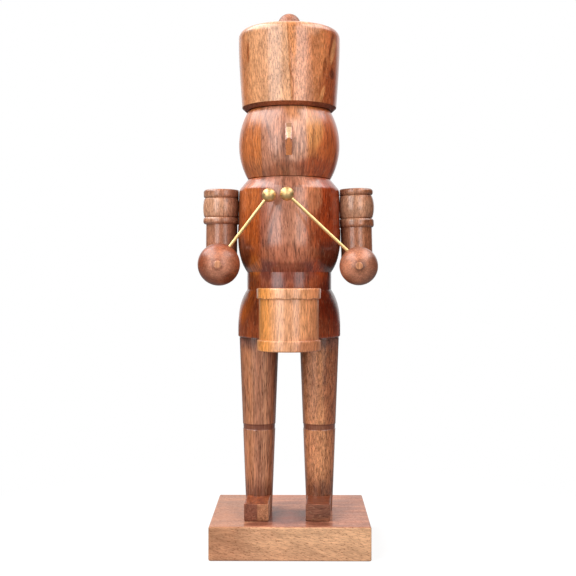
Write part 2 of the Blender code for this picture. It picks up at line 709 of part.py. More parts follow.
head = make_head()
make_nose(head)
hat = make_hat()
make_knob(hat)
neck = Vector((0, 0, NECK_Z))
neck_depths = (NECK_DOWEL_DEPTH, NECK_DOWEL_DEPTH + GAP)
dowel("neck_dowel", neck, UP, neck_depths, NECK_DOWEL_RADIUS, [torso, head], body_wood)
crown = Vector((0, 0, HEAD_TOP_Z))
crown_depths = (HAT_DOWEL_DEPTH, HAT_DOWEL_DEPTH + GAP)
dowel("hat_dowel", crown, UP, crown_depths, HAT_DOWEL_RADIUS, [head, hat], body_wood)

drum = make_drum()
navel = Vector((0, -BELLY_RADIUS, BELLY_Z + DRUM_DOWEL_RADIUS))
drum_depths = (DRUM_DOWEL_DEPTH, DRUM_DOWEL_DEPTH + GAP)
dowel("drum_dowel", navel, FORWARD, drum_depths, DRUM_DOWEL_RADIUS, [torso, drum], light_wood)

left_turning = (
    LEFT_TOP_RISE,
    (LEFT_TOP_BEAD_RADIUS, LEFT_TOP_BEAD_HEIGHT),
    (LEFT_SLEEVE_RADIUS, LEFT_SLEEVE_END_RADIUS, LEFT_SLEEVE_HEIGHT),
    (LEFT_LOW_BEAD_RADIUS, LEFT_LOW_BEAD_HEIGHT),
)
right_turning = (
    RIGHT_TOP_RISE,
    (RIGHT_TOP_BEAD_RADIUS, RIGHT_TOP_BEAD_HEIGHT),
    (RIGHT_SLEEVE_RADIUS, RIGHT_SLEEVE_END_RADIUS, RIGHT_SLEEVE_HEIGHT),
    (RIGHT_LOW_BEAD_RADIUS, RIGHT_LOW_BEAD_HEIGHT),
)
left_stick = (LEFT_TIP_RISE, LEFT_GRIP_OUT, LEFT_GRIP_UP)
right_stick = (RIGHT_TIP_RISE, RIGHT_GRIP_OUT, RIGHT_GRIP_UP)
make_arm(
    "left",
    -1,
    left_turning,
    LEFT_ELBOW_DROP,
    LEFT_ARM_LEAN,
    LEFT_HAND_RADIUS,
    LEFT_WRIST_PROUD,
    left_stick,
    torso,
)
make_arm(
    "right",
    1,
    right_turning,
    RIGHT_ELBOW_DROP,
    RIGHT_ARM_LEAN,
    RIGHT_HAND_RADIUS,
    RIGHT_WRIST_PROUD,
    right_stick,
    torso,
)
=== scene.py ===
"""Looks of the turned wooden drummer figure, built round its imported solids.

Metres, +Z up, the figure faces -Y, and left is the viewer's left, at -X.
Each visible piece is a surface worked out on a grid of points. Every grid runs from a pole at the
start of its profile to a pole at the end, and closes on itself round the columns.
"""

import math

import bpy
import numpy as np
from mathutils import Matrix, Vector


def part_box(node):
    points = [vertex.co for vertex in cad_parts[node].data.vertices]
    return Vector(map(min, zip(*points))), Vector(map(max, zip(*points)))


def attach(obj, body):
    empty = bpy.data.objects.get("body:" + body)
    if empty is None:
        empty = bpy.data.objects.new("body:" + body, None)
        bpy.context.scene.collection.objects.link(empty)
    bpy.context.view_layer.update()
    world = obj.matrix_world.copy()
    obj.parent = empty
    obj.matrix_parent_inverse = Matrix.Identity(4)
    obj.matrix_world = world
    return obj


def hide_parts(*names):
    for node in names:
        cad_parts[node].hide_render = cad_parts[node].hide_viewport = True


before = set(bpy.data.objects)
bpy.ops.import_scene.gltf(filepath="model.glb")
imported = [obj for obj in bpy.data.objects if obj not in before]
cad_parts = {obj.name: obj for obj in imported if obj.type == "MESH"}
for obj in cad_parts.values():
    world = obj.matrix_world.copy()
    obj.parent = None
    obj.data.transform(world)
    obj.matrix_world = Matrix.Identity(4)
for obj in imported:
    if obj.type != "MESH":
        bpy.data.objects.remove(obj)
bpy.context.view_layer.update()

MM = 0.001
GAP = 0.3 * MM  # clearance between pieces that meet

# Fineness of the grids
SIDES = 160
ARM_SIDES = 112
SMALL_SIDES = 56
GRID_STEP = 0.9 * MM
ARC_POINTS = 7
QUARTER = np.linspace(0, math.pi / 2, ARC_POINTS)
BLOCK_WALL_ROWS = 18
BLOCK_SIDE_STEPS = (48, 40)  # along X, along Y
BLOCK_CAP_ROWS = 12
HEAD_ROWS = 60
NOSE_ROWS = 16
NOSE_SIDE_STEPS = 14

# Camera
CAMERA_DISTANCE = 720 * MM
CAMERA_HEIGHT = 191.3 * MM
CAMERA_SIDE = 5.6 * MM
CAMERA_AIM_SIDE = -0.9 * MM
CAMERA_SHIFT = -12 / 576  # level camera, with the horizon 12 pixels above the picture's middle
CAMERA_LENS = 62.5

# Light
FILL = 0.12  # even light that diffuse surfaces get from all round
GLOSS_FRONT = 0.02  # brightness that reflections see ahead of the figure, where they see 1 behind it
WALL_RISE = 0.6  # how far the white behind the figure reaches forward overhead
WALL_EDGE = (0.75, 0.97)  # where the white begins and is full
LAMP_AIM = 200 * MM
FLOOR_HALF = 4.0
FLOOR_DROP = 0.2 * MM  # floor below the underside of the base
FLOOR_WHITE = 0.8  # share of plain white in the floor beside the base
FLOOR_FADE = (0.06, 0.30)  # between these distances from the middle that share rises to 1

# Torso outline
NECK_RADIUS = 29.5 * MM
SHOULDER_RADIUS = 35.8 * MM
WAIST_RADIUS = 30.2 * MM
BELLY_RADIUS = 36.6 * MM
SHOULDER_HEIGHT = 7.4 * MM
HIGH_CHEST_HEIGHT = 30.0 * MM
LOW_CHEST_HEIGHT = 28.8 * MM
WAIST_HEIGHT = 12.5 * MM
SKIRT_HEIGHT = 29.5 * MM
SHOULDER_EDGE = 5.0 * MM
WAIST_EDGE = 0.7 * MM
HEM_EDGE = 1.0 * MM

# Head and nose
HEAD_END_RADIUS = 29.6 * MM
HEAD_EDGE = 0.6 * MM
NOSE_TIP_DROP = 11.2 * MM
NOSE_EDGE = 0.9 * MM
NOSE_ARCH = 1.8 * MM  # ridge lower at the sides than in the middle
LOOKS_UP = 0.2  # upward part of a normal above which a face looks up
LOOKS_ASIDE = 0.3

# Hat and knob
HAT_RIM_RADIUS = 33.8 * MM
HAT_FOOT_RADIUS = 31.2 * MM
HAT_CHAMFER = 2.4 * MM
HAT_WALL = 12.0 * MM
HAT_EDGE = 7.0 * MM
HAT_RIM_EDGE = 0.5 * MM
KNOB_SINK = 4.2 * MM
KNOB_TENON_RADIUS = 4.0 * MM
KNOB_TENON = 10.0 * MM

# Drum
DRUM_RADIUS = 20.5 * MM
DRUM_TOP_RIM = 7.2 * MM
DRUM_LOW_RIM = 7.3 * MM
RIM_EDGE = 0.9 * MM
RIM_WAVE = 0.2 * MM

# Legs and feet
LEG_FOOT_RADIUS = 9.3 * MM
LEG_EDGE = 0.5 * MM
BAND_RISE = 58.8 * MM
BAND_HEIGHT = 3.1 * MM
BAND_DEPTH = 0.3 * MM
BAND_BEVEL = 0.3 * MM
FOOT_REACH = 34.8 * MM
FOOT_WIDTH = 16.8 * MM
FOOT_EDGE = 0.6 * MM
FOOT_TURN = {"left": math.radians(1.3), "right": math.radians(2.8)}

# Arms
ARM_RADIUS = 11.3 * MM
ARM_FLAT = 12.5 * MM
TOP_BEAD_RADIUS = {"left": 13.3 * MM, "right": 12.6 * MM}
TOP_BEAD_HEIGHT = {"left": 6.0 * MM, "right": 4.6 * MM}
SLEEVE_RADIUS = {"left": 13.57 * MM, "right": 13.17 * MM}
SLEEVE_END_RADIUS = {"left": 12.9 * MM, "right": 11.9 * MM}
SLEEVE_HEIGHT = {"left": 12.3 * MM, "right": 15.1 * MM}
LOW_BEAD_RADIUS = {"left": 13.4 * MM, "right": 12.8 * MM}
LOW_BEAD_HEIGHT = {"left": 5.0 * MM, "right": 6.4 * MM}
SLEEVE_EDGE = 0.3 * MM
BEAD_EDGE = 2.1 * MM
TOP_EASE = 2.0 * MM  # the top bead's radius less that of the arm's flat top
GROOVE_HEIGHT = 0.8 * MM
GROOVE_DEPTH = 0.9 * MM
SEAT_MARGIN = 1.9 * MM  # seat beyond the lower bead
ELBOW_DROP = {"left": 42.1 * MM, "right": 43.3 * MM}
ARM_TOP_RISE = {"left": 12.0 * MM, "right": 12.4 * MM}
ARM_TOE_IN = math.radians(2.0)
ARM_LEAN = {"left": math.radians(0.5), "right": math.radians(1.3)}  # top of the arm towards the chest
FOREARM_EDGE = 4.0 * MM
WRIST_RADIUS = 9.0 * MM
WRIST_EDGE = 0.4 * MM
HAND_EASE = 0.12 * MM  # the ball stays this much inside the box of its solid
WRIST_DOWEL_RADIUS = 2.5 * MM
WRIST_DOWEL_EDGE = 0.5 * MM
WRIST_PROUD = {"left": 0.0 * MM, "right": 1.0 * MM}
WRIST_DOWEL_DEPTH = 12.0 * MM
ROD_RADIUS = 1.1 * MM
ROD_EDGE = 0.25 * MM

# Finishes: cells of each noise to the metre, grain tints, and the strength and soft edge of a painted band
SLOW_CELLS = 45.0
MOTTLE_CELLS = 110.0
TOP_CELLS = 170.0
STREAK_CELLS = 420.0
FLECK_CELLS = 1000.0
PORE_CELLS = 1150.0
FIBRE_CELLS = 1500.0
TARNISH_CELLS = 190.0
DENT_CELLS = 1400.0
STREAK_TINT = (0.42, 0.33, 0.30)
FLECK_TINT = (0.85, 0.55, 0.32)
PORE_TINT = (0.46, 0.33, 0.27)
BAND_PAINT = 0.8
BAND_BLUR = 0.15 * MM

SIGN = {"left": -1, "right": 1}


# Grids and meshes


def outline(corners):
    """Profile through (radius, height, fillet) corners: each fillet is an arc that touches both of its
    neighbouring sides, and the straight runs between are cut into steps of about GRID_STEP."""
    corners = np.array([(*corner, 0.0)[:3] for corner in corners])
    runs = []
    for index, (radius, height, fillet) in enumerate(corners):
        here = np.array([radius, height])
        if not fillet:
            runs.append(here[None])
            continue
        before = corners[index - 1, :2] - here
        after = corners[index + 1, :2] - here
        lengths = np.linalg.norm(before), np.linalg.norm(after)
        before, after = before / lengths[0], after / lengths[1]
        half = math.acos(np.clip(before @ after, -1, 1)) / 2
        reach = min(fillet / math.tan(half), 0.49 * min(lengths))
        bisector = (before + after) / np.linalg.norm(before + after)
        centre = here + bisector * reach / math.cos(half)
        start, end = here + before * reach - centre, here + after * reach - centre
        first = math.atan2(start[1], start[0])
        sweep = (math.atan2(end[1], end[0]) - first + math.pi) % math.tau - math.pi
        angles = first + sweep * np.linspace(0, 1, ARC_POINTS)
        runs.append(centre + np.linalg.norm(start) * np.stack([np.cos(angles), np.sin(angles)], 1))
    return stepped(np.concatenate(runs))


def stepped(points):
    """The same line with its own points kept and extra ones about GRID_STEP apart along it."""
    along = np.concatenate([[0], np.cumsum(np.linalg.norm(np.diff(points, axis=0), axis=1))])
    even = np.linspace(0, along[-1], int(along[-1] / GRID_STEP) + 2)
    places = np.unique(np.round(np.concatenate([along, even]), 7))
    keep = np.concatenate([[True], np.diff(places) > 0.02 * MM])
    places = places[keep]
    return np.stack([np.interp(places, along, points[:, axis]) for axis in (0, 1)], 1)


def swell(wide, narrow, power, steps=24):
    """Profile between two places, radius falling from wide to narrow as a power of the way between."""
    way = np.linspace(0, 1, steps)[1:-1]
    radius = wide[0] + (narrow[0] - wide[0]) * way**power
    height = wide[1] + (narrow[1] - wide[1]) * way
    return np.stack([radius, height], 1)


def roll(radius, top, low, above, below):
    """Profile of a bead: its radius between two heights, drawn in to the radii above and below it over
    quarter ellipses BEAD_EDGE high."""
    rise, depth = np.sin(QUARTER), BEAD_EDGE * (1 - np.cos(QUARTER))
    upper = np.stack([above + (radius - above) * rise, top - depth], 1)
    lower = np.stack([below + (radius - below) * rise, low + depth], 1)
    return np.concatenate([upper, lower[::-1]])


def ball_arc(radius, first, last, steps=40):
    """Profile of a ball round zero, by angle from its top pole: (r sin a, r cos a)."""
    angle = np.linspace(first, last, steps)
    return radius * np.stack([np.sin(angle), np.cos(angle)], 1)


def spin(profile, sides=SIDES):
    """Turned grid: the profile's (r, h) at angle a is the point (r cos a, r sin a, h)."""
    angle = np.linspace(0, math.tau, sides, endpoint=False)
    radius, height = profile[:, :1], profile[:, 1:]
    return np.stack([radius * np.cos(angle), radius * np.sin(angle), height + 0 * angle], -1)


def placed(grid, matrix):
    """Every point of the grid carried by one 4x4 matrix."""
    turn = np.array(matrix)
    return grid @ turn[:3, :3].T + turn[:3, 3]


def along_axis(origin, direction):
    """Matrix that stands local Z along a direction, with its zero at origin."""
    turn = Vector(direction).to_track_quat("Z", "Y")
    return Matrix.Translation(Vector(origin)) @ turn.to_matrix().to_4x4()


def closed_mesh(name, grid):
    """Mesh over a grid whose first and last rows are poles and whose columns close on themselves."""
    rows, columns = grid.shape[:2]
    points = np.concatenate([grid[:1, 0], grid[1:-1].reshape(-1, 3), grid[-1:, 0]])
    ring = 1 + np.arange((rows - 2) * columns).reshape(rows - 2, columns)
    following = np.roll(ring, -1, axis=1)
    quads = np.stack([ring[:-1], ring[1:], following[1:], following[:-1]], -1).reshape(-1, 4)
    last = len(points) - 1
    top = np.stack([0 * ring[0], ring[0], following[0]], -1)
    bottom = np.stack([ring[-1], last + 0 * ring[-1], following[-1]], -1)
    mesh = bpy.data.meshes.new(name)
    mesh.from_pydata(points.tolist(), [], quads.tolist() + top.tolist() + bottom.tolist())
    mesh.shade_smooth()
    return mesh


def linked(name, data):
    """A new object, put into the scene."""
    item = bpy.data.objects.new(name, data)
    bpy.context.scene.collection.objects.link(item)
    return item


def add_piece(name, grid, body, material, sharp_angle=40):
    """A finished piece: its mesh, finish and body; the solid of the same name that it stands for is hidden.
    """
    mesh = closed_mesh(name + "_surface", grid)
    mesh.set_sharp_from_angle(angle=math.radians(sharp_angle))
    mesh.materials.append(material)
    piece = linked(name + "_surface", mesh)
    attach(piece, body)
    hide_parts(name)
    return piece


def facing(mesh):
    """Normal of every face of a mesh."""
    looks = np.empty(len(mesh.polygons) * 3, np.float32)
    mesh.polygons.foreach_get("normal", looks)
    return looks.reshape(-1, 3)


def middle_of(node):
    low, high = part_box(node)
    return (low + high) / 2


def turned_size(node):
    """Lower end, height and largest radius of a turned solid."""
    low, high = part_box(node)
    return low.z, high.z - low.z, (high.x - low.x) / 2


def size_of(node):
    low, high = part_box(node)
    return high - low


# Materials


def feed(tree, node, sockets):
    """Sets the inputs of a node, as values or from upstream outputs."""
    for key, value in sockets.items():
        if isinstance(value, bpy.types.NodeSocket):
            tree.links.new(value, node.inputs[key])
        else:
            node.inputs[key].default_value = value


def add(tree, kind, sockets=None, output=0, **settings):
    """One node: settings are its own options, sockets its inputs as values or upstream outputs."""
    made = tree.nodes.new("ShaderNode" + kind)
    for key, value in settings.items():
        setattr(made, key, value)
    feed(tree, made, sockets or {})
    return made.outputs[output]


def split(tree, vector):
    """The X, Y and Z of a vector."""
    return tuple(add(tree, "SeparateXYZ", {0: vector}).node.outputs)


def mix(tree, factor, first, second, mode="MIX"):
    """Blend of two colours, each written out or taken from a node, by a factor."""
    first, second = (
        value if isinstance(value, bpy.types.NodeSocket) else (*value, 1.0) for value in (first, second)
    )
    sockets = {0: factor, 6: first, 7: second}
    return add(tree, "Mix", sockets, 2, data_type="RGBA", blend_type=mode, clamp_result=True)


def ramp(tree, value, stops):
    """Colour ramp through (position, colour) stops."""
    made = add(tree, "ValToRGB", {0: value})
    elements = made.node.color_ramp.elements
    while len(elements) < len(stops):
        elements.new(1.0)
    for element, (position, colour) in zip(elements, stops):
        element.position = position
        element.color = (*colour, 1.0)
    return made


def scaled(tree, vector, scale):
    return add(tree, "VectorMath", {0: vector, 1: scale}, operation="MULTIPLY")


def length_of(tree, vector):
    return add(tree, "VectorMath", {0: vector}, "Value", operation="LENGTH")


def calc(tree, operation, first, second=0.0, third=0.0):
    return add(tree, "Math", {0: first, 1: second, 2: third}, operation=operation)


def spread(tree, value, low, high, to_low=0.0, to_high=1.0):
    """Smooth step of a value from low..high to to_low..to_high."""
    sockets = {"Value": value, "From Min": low, "From Max": high, "To Min": to_low, "To Max": to_high}
    return add(tree, "MapRange", sockets, interpolation_type="SMOOTHSTEP")


def noise(tree, vector, scale, detail=2.0, roughness=0.55):
    sockets = {"Vector": vector, "Scale": scale, "Detail": detail, "Roughness": roughness}
    return add(tree, "TexNoise", sockets)


def shaded(tree, colour, value, low, high, darkest, lightest):
    """Colour made darker or lighter by a value between low and high."""
    level = spread(tree, value, low, high, darkest, lightest)
    grey = add(tree, "CombineColor", {0: level, 1: level, 2: level})
    return mix(tree, 1.0, colour, grey, "MULTIPLY")


def new_material(name):
    material = bpy.data.materials.new(name)
    material.use_nodes = True
    return material, material.node_tree, material.node_tree.nodes["Principled BSDF"]


def patch_mm(middle, radii, colour, strength=1.0, tilt=0):
    """Tinted patch, its middle and radii in millimetres, leaning to the right by tilt degrees."""
    middle, radii = (tuple(part * MM for part in parts) for parts in (middle, radii))
    return middle, radii, colour, strength, math.radians(tilt)


def lacquered_wood(
    name, boards, centre=(0, 0, 0), turn=(0, 0, 0), seed=0.0, lean=0.0, wander=1.2 * MM,
    patches=(), bands=(), rounds=False, top_tints=None, turned=0.0,
    streaks=0.4, pores=0.8, flecks=0.1, fibres=0.34, grain=1.0, dash=0.42, blotch=0.4, coat=1.0, haze=0.22,
):
    """Lacquered wood with its grain along local Z, on Object coordinates.

    Colour runs across the boards, as stops of (place across in millimetres, colour), after the place has
    leaned with height and swayed with a slow noise. With rounds the place is the distance from local Z,
    as on end grain. Two top tints streak the faces that look up, patches, written as patch_mm takes them,
    tint it with ragged edges, and bands of (low, high, colour) paint it between two heights. Dark streaks
    and fibres, and among them short dark pores and pale flecks, lie along the grain; dash is a pore's
    width over its length, and blotch that of the cloudy shades under them. On a turned piece they follow
    the surface: their pattern is taken where the spoke from local Z meets a drum of radius turned, except
    on its flat ends. Haze is the roughness of the lacquer.
    """
    material, tree, shader = new_material(name)
    coords = add(tree, "TexCoord").node.outputs
    sockets = {"Vector": coords["Object"], "Location": centre, "Rotation": turn}
    local = add(tree, "Mapping", sockets, vector_type="TEXTURE")
    place = add(tree, "VectorMath", {0: local, 1: (seed, 1.7 * seed, 2.3 * seed)}, operation="ADD")
    across, ahead, height = split(tree, local)
    flat = scaled(tree, local, (1, 1, 0))
    slow = noise(tree, scaled(tree, place, (1, 1, 0.5)), SLOW_CELLS)
    mottle = noise(tree, scaled(tree, place, (1, 1, blotch)), MOTTLE_CELLS, 3.0)
    swing = calc(tree, "MULTIPLY_ADD", slow, 2 * wander, -wander)
    sway = calc(tree, "MULTIPLY_ADD", height, lean, swing)

    board = length_of(tree, flat) if rounds else across
    low, high = boards[0][0] * MM, boards[-1][0] * MM
    sockets = {"Value": calc(tree, "ADD", board, sway), "From Min": low, "From Max": high}
    share = add(tree, "MapRange", sockets)
    colour = ramp(tree, share, [((stop * MM - low) / (high - low), tint) for stop, tint in boards])
    if top_tints:
        wide = noise(tree, scaled(tree, place, (1, 1, 0.05)), TOP_CELLS)
        tint = mix(tree, spread(tree, wide, 0.35, 0.65), *top_tints)
        lifted = split(tree, coords["Normal"])[2]
        colour = mix(tree, spread(tree, lifted, 0.5, 0.9), colour, tint)
    # Both noises average 0.5, so a patch is full within 0.6 of its radii and has faded away at 1.2
    for patch in patches:
        middle, radii, tint, strength, tilt = patch_mm(*patch)
        sockets = {"Vector": local, "Location": middle, "Rotation": (0, tilt, 0), "Scale": radii}
        shares = add(tree, "Mapping", sockets, vector_type="TEXTURE")
        reach = length_of(tree, shares)
        ragged = calc(tree, "MULTIPLY_ADD", mottle, 0.7, calc(tree, "MULTIPLY_ADD", slow, 0.5, reach))
        colour = mix(tree, spread(tree, ragged, 1.8, 1.2, 0.0, strength), colour, tint)

    around = across
    if turned:
        spoke = add(tree, "VectorMath", {0: flat}, operation="NORMALIZE")
        level = spread(tree, calc(tree, "ABSOLUTE", split(tree, coords["Normal"])[2]), 0.85, 0.95)
        sockets = {0: level, 4: scaled(tree, spoke, (turned, turned, 0)), 5: flat}
        around, ahead, _ = split(tree, add(tree, "Mix", sockets, 1, data_type="VECTOR"))
    along = add(tree, "CombineXYZ", {0: calc(tree, "ADD", around, sway), 1: ahead, 2: height})
    along = add(tree, "VectorMath", {0: along, 1: (seed, 0, 0)}, operation="ADD")
    short = scaled(tree, along, (1, 1, dash))
    long = scaled(tree, along, (1, 1, 0.36 * dash))
    broad = noise(tree, long, STREAK_CELLS * grain, 3.0, 0.6)
    fibre = noise(tree, long, FIBRE_CELLS * grain, 2.0, 0.6)
    fleck = noise(tree, short, FLECK_CELLS * grain, 1.0)
    pore = add(tree, "TexVoronoi", {"Vector": short, "Scale": PORE_CELLS * grain}, "Distance")
    streak_mask = spread(tree, broad, 0.48, 0.70, 0.0, streaks)
    fleck_mask = spread(tree, fleck, 0.58, 0.72, 0.0, flecks)
    pored = spread(tree, fibre, 0.62, 0.42, 0.15, 1.0)
    pore_mask = calc(tree, "MULTIPLY", spread(tree, pore, 0.40, 0.18, 0.0, pores), pored)
    colour = shaded(tree, colour, mottle, 0.25, 0.75, 0.82, 1.18)
    colour = shaded(tree, colour, fibre, 0.30, 0.70, 1 - fibres, 1 + fibres)
    colour = mix(tree, streak_mask, colour, STREAK_TINT, "MULTIPLY")
    colour = mix(tree, fleck_mask, colour, FLECK_TINT)
    colour = mix(tree, pore_mask, colour, PORE_TINT, "MULTIPLY")
    for bottom, top, tint in bands:
        above = spread(tree, height, bottom - BAND_BLUR, bottom + BAND_BLUR)
        below = spread(tree, height, top + BAND_BLUR, top - BAND_BLUR)
        painted = mix(tree, BAND_PAINT, colour, tint)
        colour = mix(tree, calc(tree, "MULTIPLY", above, below), colour, painted)

    uneven = spread(tree, mottle, 0.2, 0.8, 0.34, 0.46)
    rough = calc(tree, "MULTIPLY_ADD", pore_mask, 0.25, uneven)
    relief = calc(tree, "MULTIPLY_ADD", fibre, 0.25, calc(tree, "MULTIPLY", pore_mask, -1.0))
    bump = add(tree, "Bump", {"Strength": 0.15, "Distance": 0.12 * MM, "Height": relief})
    feed(tree, shader, {"Base Color": colour, "Roughness": rough, "Normal": bump})
    feed(tree, shader, {"Specular IOR Level": 0.05, "Coat Weight": coat, "Coat Roughness": haze})
    return material


def polished_metal(name, colour, tarnish, roughness):
    """Metal with cloudy tarnish and fine dents that break up the polish."""
    material, tree, shader = new_material(name)
    coords = add(tree, "TexCoord", output="Object")
    cloud = noise(tree, coords, TARNISH_CELLS, 4.0, 0.6)
    fine = noise(tree, coords, DENT_CELLS)
    stained = mix(tree, spread(tree, cloud, 0.45, 0.75, 0.0, 0.5), colour, tarnish)
    stained = shaded(tree, stained, fine, 0.3, 0.7, 0.95, 1.05)
    rough = spread(tree, cloud, 0.3, 0.7, roughness - 0.05, roughness + 0.05)
    bump = add(tree, "Bump", {"Strength": 0.05, "Distance": 0.05 * MM, "Height": fine})
    feed(tree, shader, {"Base Color": stained, "Roughness": rough, "Normal": bump, "Metallic": 1.0})
    return material


hat_wood = lacquered_wood(
    "hat_wood",
    [
        (-37, (0.40, 0.15, 0.062)), (-31, (0.42, 0.155, 0.06)), (-26, (0.50, 0.225, 0.10)),
        (-8, (0.59, 0.305, 0.17)), (-0.2, (0.63, 0.32, 0.17)), (0.3, (0.45, 0.18, 0.07)),
        (0.9, (0.48, 0.19, 0.075)), (1.6, (0.61, 0.27, 0.145)), (6, (0.63, 0.28, 0.153)),
        (13, (0.59, 0.25, 0.135)), (17, (0.51, 0.18, 0.07)), (24, (0.48, 0.16, 0.055)),
        (30, (0.42, 0.11, 0.035)), (37, (0.34, 0.08, 0.028)),
    ],
    centre=(0, 0, 338 * MM),
    seed=0.21, lean=0.06, wander=0.4 * MM,
    patches=[
        ((2.4, -33, 22), (2.7, 30, 24), (0.56, 0.21, 0.07), 0.85, -4),
        ((1.5, -33, -8), (0.6, 12, 9), (0.32, 0.11, 0.045), 0.85, -13),
        ((2.9, -33, -20), (0.6, 12, 7), (0.32, 0.11, 0.045), 0.8),
        ((-29.5, -22, 10), (2.4, 12, 9), (0.40, 0.14, 0.05), 0.6),
        ((-28.6, -22, 10), (1.0, 12, 8), (0.26, 0.07, 0.02), 0.85),
        # Pale patch high on the right, along the rounded top edge: paler wood with a painted highlight.
        ((15, -28, 27), (8, 20, 8), (0.62, 0.29, 0.16), 0.8),
        ((18.5, -30, 8), (3, 12, 12), (0.40, 0.14, 0.055), 0.6, 8),
        ((24.6, -26, -2), (1.4, 12, 8), (0.24, 0.06, 0.018), 0.85, 6),
        ((30, -20, -17), (10, 22, 18), (0.24, 0.042, 0.011), 0.8),
        ((29, -21, 13), (0.9, 12, 10), (0.19, 0.045, 0.014), 0.9, 10),
        ((30.8, -20, 10.6), (1.3, 12, 9), (0.62, 0.26, 0.10), 0.8, 10),
        ((30.4, -20, -5.5), (2.2, 12, 3.2), (0.12, 0.025, 0.008), 0.9),
        ((23.2, -26, -20), (1.4, 12, 7), (0.62, 0.25, 0.09), 0.75, 15),
    ],
    turned=34 * MM, streaks=0.3, pores=0.75, dash=0.5,
)
# Darker wood for the faces under the hat's rim, darkest towards the sides: painted shade under the rim.
hat_underside_painted_shade = lacquered_wood(
    "hat_underside_painted_shade",
    [(-36, (0.13, 0.036, 0.015)), (0, (0.34, 0.09, 0.036)), (36, (0.16, 0.036, 0.015))],
    seed=0.31, coat=0.15,
)
head_wood = lacquered_wood(
    "head_wood",
    [
        (-37, (0.38, 0.11, 0.035)), (-30, (0.42, 0.12, 0.033)), (-19.4, (0.44, 0.135, 0.038)),
        (-18.4, (0.36, 0.14, 0.075)), (-6, (0.49, 0.21, 0.125)), (-3.5, (0.30, 0.115, 0.066)),
        (2, (0.60, 0.31, 0.21)), (11, (0.58, 0.28, 0.175)), (14, (0.56, 0.19, 0.06)),
        (24, (0.45, 0.104, 0.028)), (37, (0.33, 0.058, 0.013)),
    ],
    centre=(0, 0, 284.4 * MM),
    seed=0.53,
    patches=[
        ((2.5, -30, 24), (7.5, 20, 12), (0.50, 0.19, 0.075), 0.9),
        ((18, -30, 6), (7, 20, 13), (0.60, 0.25, 0.08), 0.75),
        ((20, -25, -18), (18, 30, 8.5), (0.34, 0.06, 0.015), 0.85),
        # Darker low on the head, above the shoulders: painted shade.
        ((-2, -30, -21), (15, 20, 8), (0.28, 0.08, 0.03), 0.75),
        ((-14.5, -30, 9), (0.9, 20, 8), (0.16, 0.055, 0.035), 0.7, -12),
        ((-9, -33, -4), (0.9, 20, 10), (0.56, 0.28, 0.19), 0.6),
        ((8, -33, 0), (0.8, 20, 12), (0.24, 0.09, 0.05), 0.6, 4),
    ],
    turned=34 * MM, streaks=0.65, dash=0.28, blotch=0.22, haze=0.28,
)
nose_pale_wood = lacquered_wood(
    "nose_pale_wood",
    [(-3, (0.60, 0.41, 0.245)), (3, (0.57, 0.375, 0.215))],
    bands=[(293.2 * MM, 300 * MM, (0.22, 0.085, 0.045))],
    streaks=0.1, pores=0.2, fibres=0.12,
)
nose_dark_wood = lacquered_wood(
    "nose_dark_wood",
    [(-3, (0.64, 0.22, 0.075)), (3, (0.60, 0.20, 0.07))],
    seed=0.1, streaks=0.2, pores=0.1, fibres=0.1,
)
nose_side_wood = lacquered_wood(
    "nose_side_wood", [(-3, (0.44, 0.20, 0.13)), (3, (0.40, 0.16, 0.10))], seed=0.2, streaks=0.3
)
torso_wood = lacquered_wood(
    "torso_wood",
    [
        (-37, (0.30, 0.08, 0.025)), (-30, (0.335, 0.069, 0.0105)), (-21, (0.325, 0.068, 0.0125)),
        (-18, (0.26, 0.08, 0.044)), (-5, (0.50, 0.205, 0.125)), (8, (0.50, 0.205, 0.115)),
        (14, (0.36, 0.092, 0.034)), (24, (0.29, 0.041, 0.0085)), (37, (0.225, 0.027, 0.006)),
    ],
    centre=(0, 0, 204 * MM),
    seed=0.87, wander=2.6 * MM,
    patches=[
        ((0, -20, -36), (70, 60, 24), (0.24, 0.05, 0.016), 0.9),
        # Dark band round the lower chest and the top of the waist, where the chest curves under: painted
        # shade.
        ((0, -25, -9), (30, 30, 8.5), (0.165, 0.038, 0.022), 0.9),
        ((-7, -30, -18.5), (6, 16, 7), (0.15, 0.052, 0.04), 0.85),
        ((-32, -10, -30), (9, 30, 16), (0.52, 0.11, 0.013), 0.85, 14),
        ((36, -10, -32), (22, 40, 22), (0.175, 0.016, 0.003), 0.9),
        ((-24, -20, -6), (6, 20, 8), (0.46, 0.12, 0.022), 0.9),
        ((22, -20, -6), (6, 20, 8), (0.38, 0.06, 0.012), 0.9),
        ((0, -30, 3), (22, 20, 7), (0.39, 0.122, 0.056), 0.7),
        ((33, -20, 0), (13, 26, 15), (0.09, 0.016, 0.007), 0.85, -14),
        ((-34, -17, 3), (9, 24, 15), (0.12, 0.028, 0.011), 0.8, 8),
        ((4.5, -34, 4), (0.7, 12, 8), (0.13, 0.04, 0.02), 0.8, -8),
        ((7.5, -34, 2), (0.6, 12, 6), (0.15, 0.045, 0.022), 0.7, -12),
        ((-12, -34, 20), (1.2, 12, 11), (0.17, 0.06, 0.04), 0.6, 14),
        ((1, -30, 50), (11, 24, 9), (0.22, 0.08, 0.045), 0.8),
        ((16, -30, 42), (7, 20, 12), (0.50, 0.18, 0.08), 0.65),
        ((-27, -22, 42), (8, 20, 12), (0.46, 0.13, 0.036), 0.6),
    ],
    turned=34 * MM, streaks=0.6, flecks=0.08, dash=0.28, blotch=0.22,
)
drum_wood = lacquered_wood(
    "drum_wood",
    [
        (-22, (0.70, 0.30, 0.11)), (-19, (0.68, 0.26, 0.06)), (-14, (0.68, 0.27, 0.075)),
        (-9, (0.73, 0.355, 0.18)), (4, (0.72, 0.335, 0.17)), (10, (0.71, 0.30, 0.13)),
        (18, (0.66, 0.24, 0.10)), (22, (0.66, 0.27, 0.14)),
    ],
    centre=(0, middle_of("drum").y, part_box("drum")[0].z),
    seed=1.3,
    patches=[((15, -14, 3), (11, 20, 8), (0.46, 0.165, 0.075), 0.8)],
    turned=20 * MM, pores=0.6, dash=0.28, blotch=0.22,
)
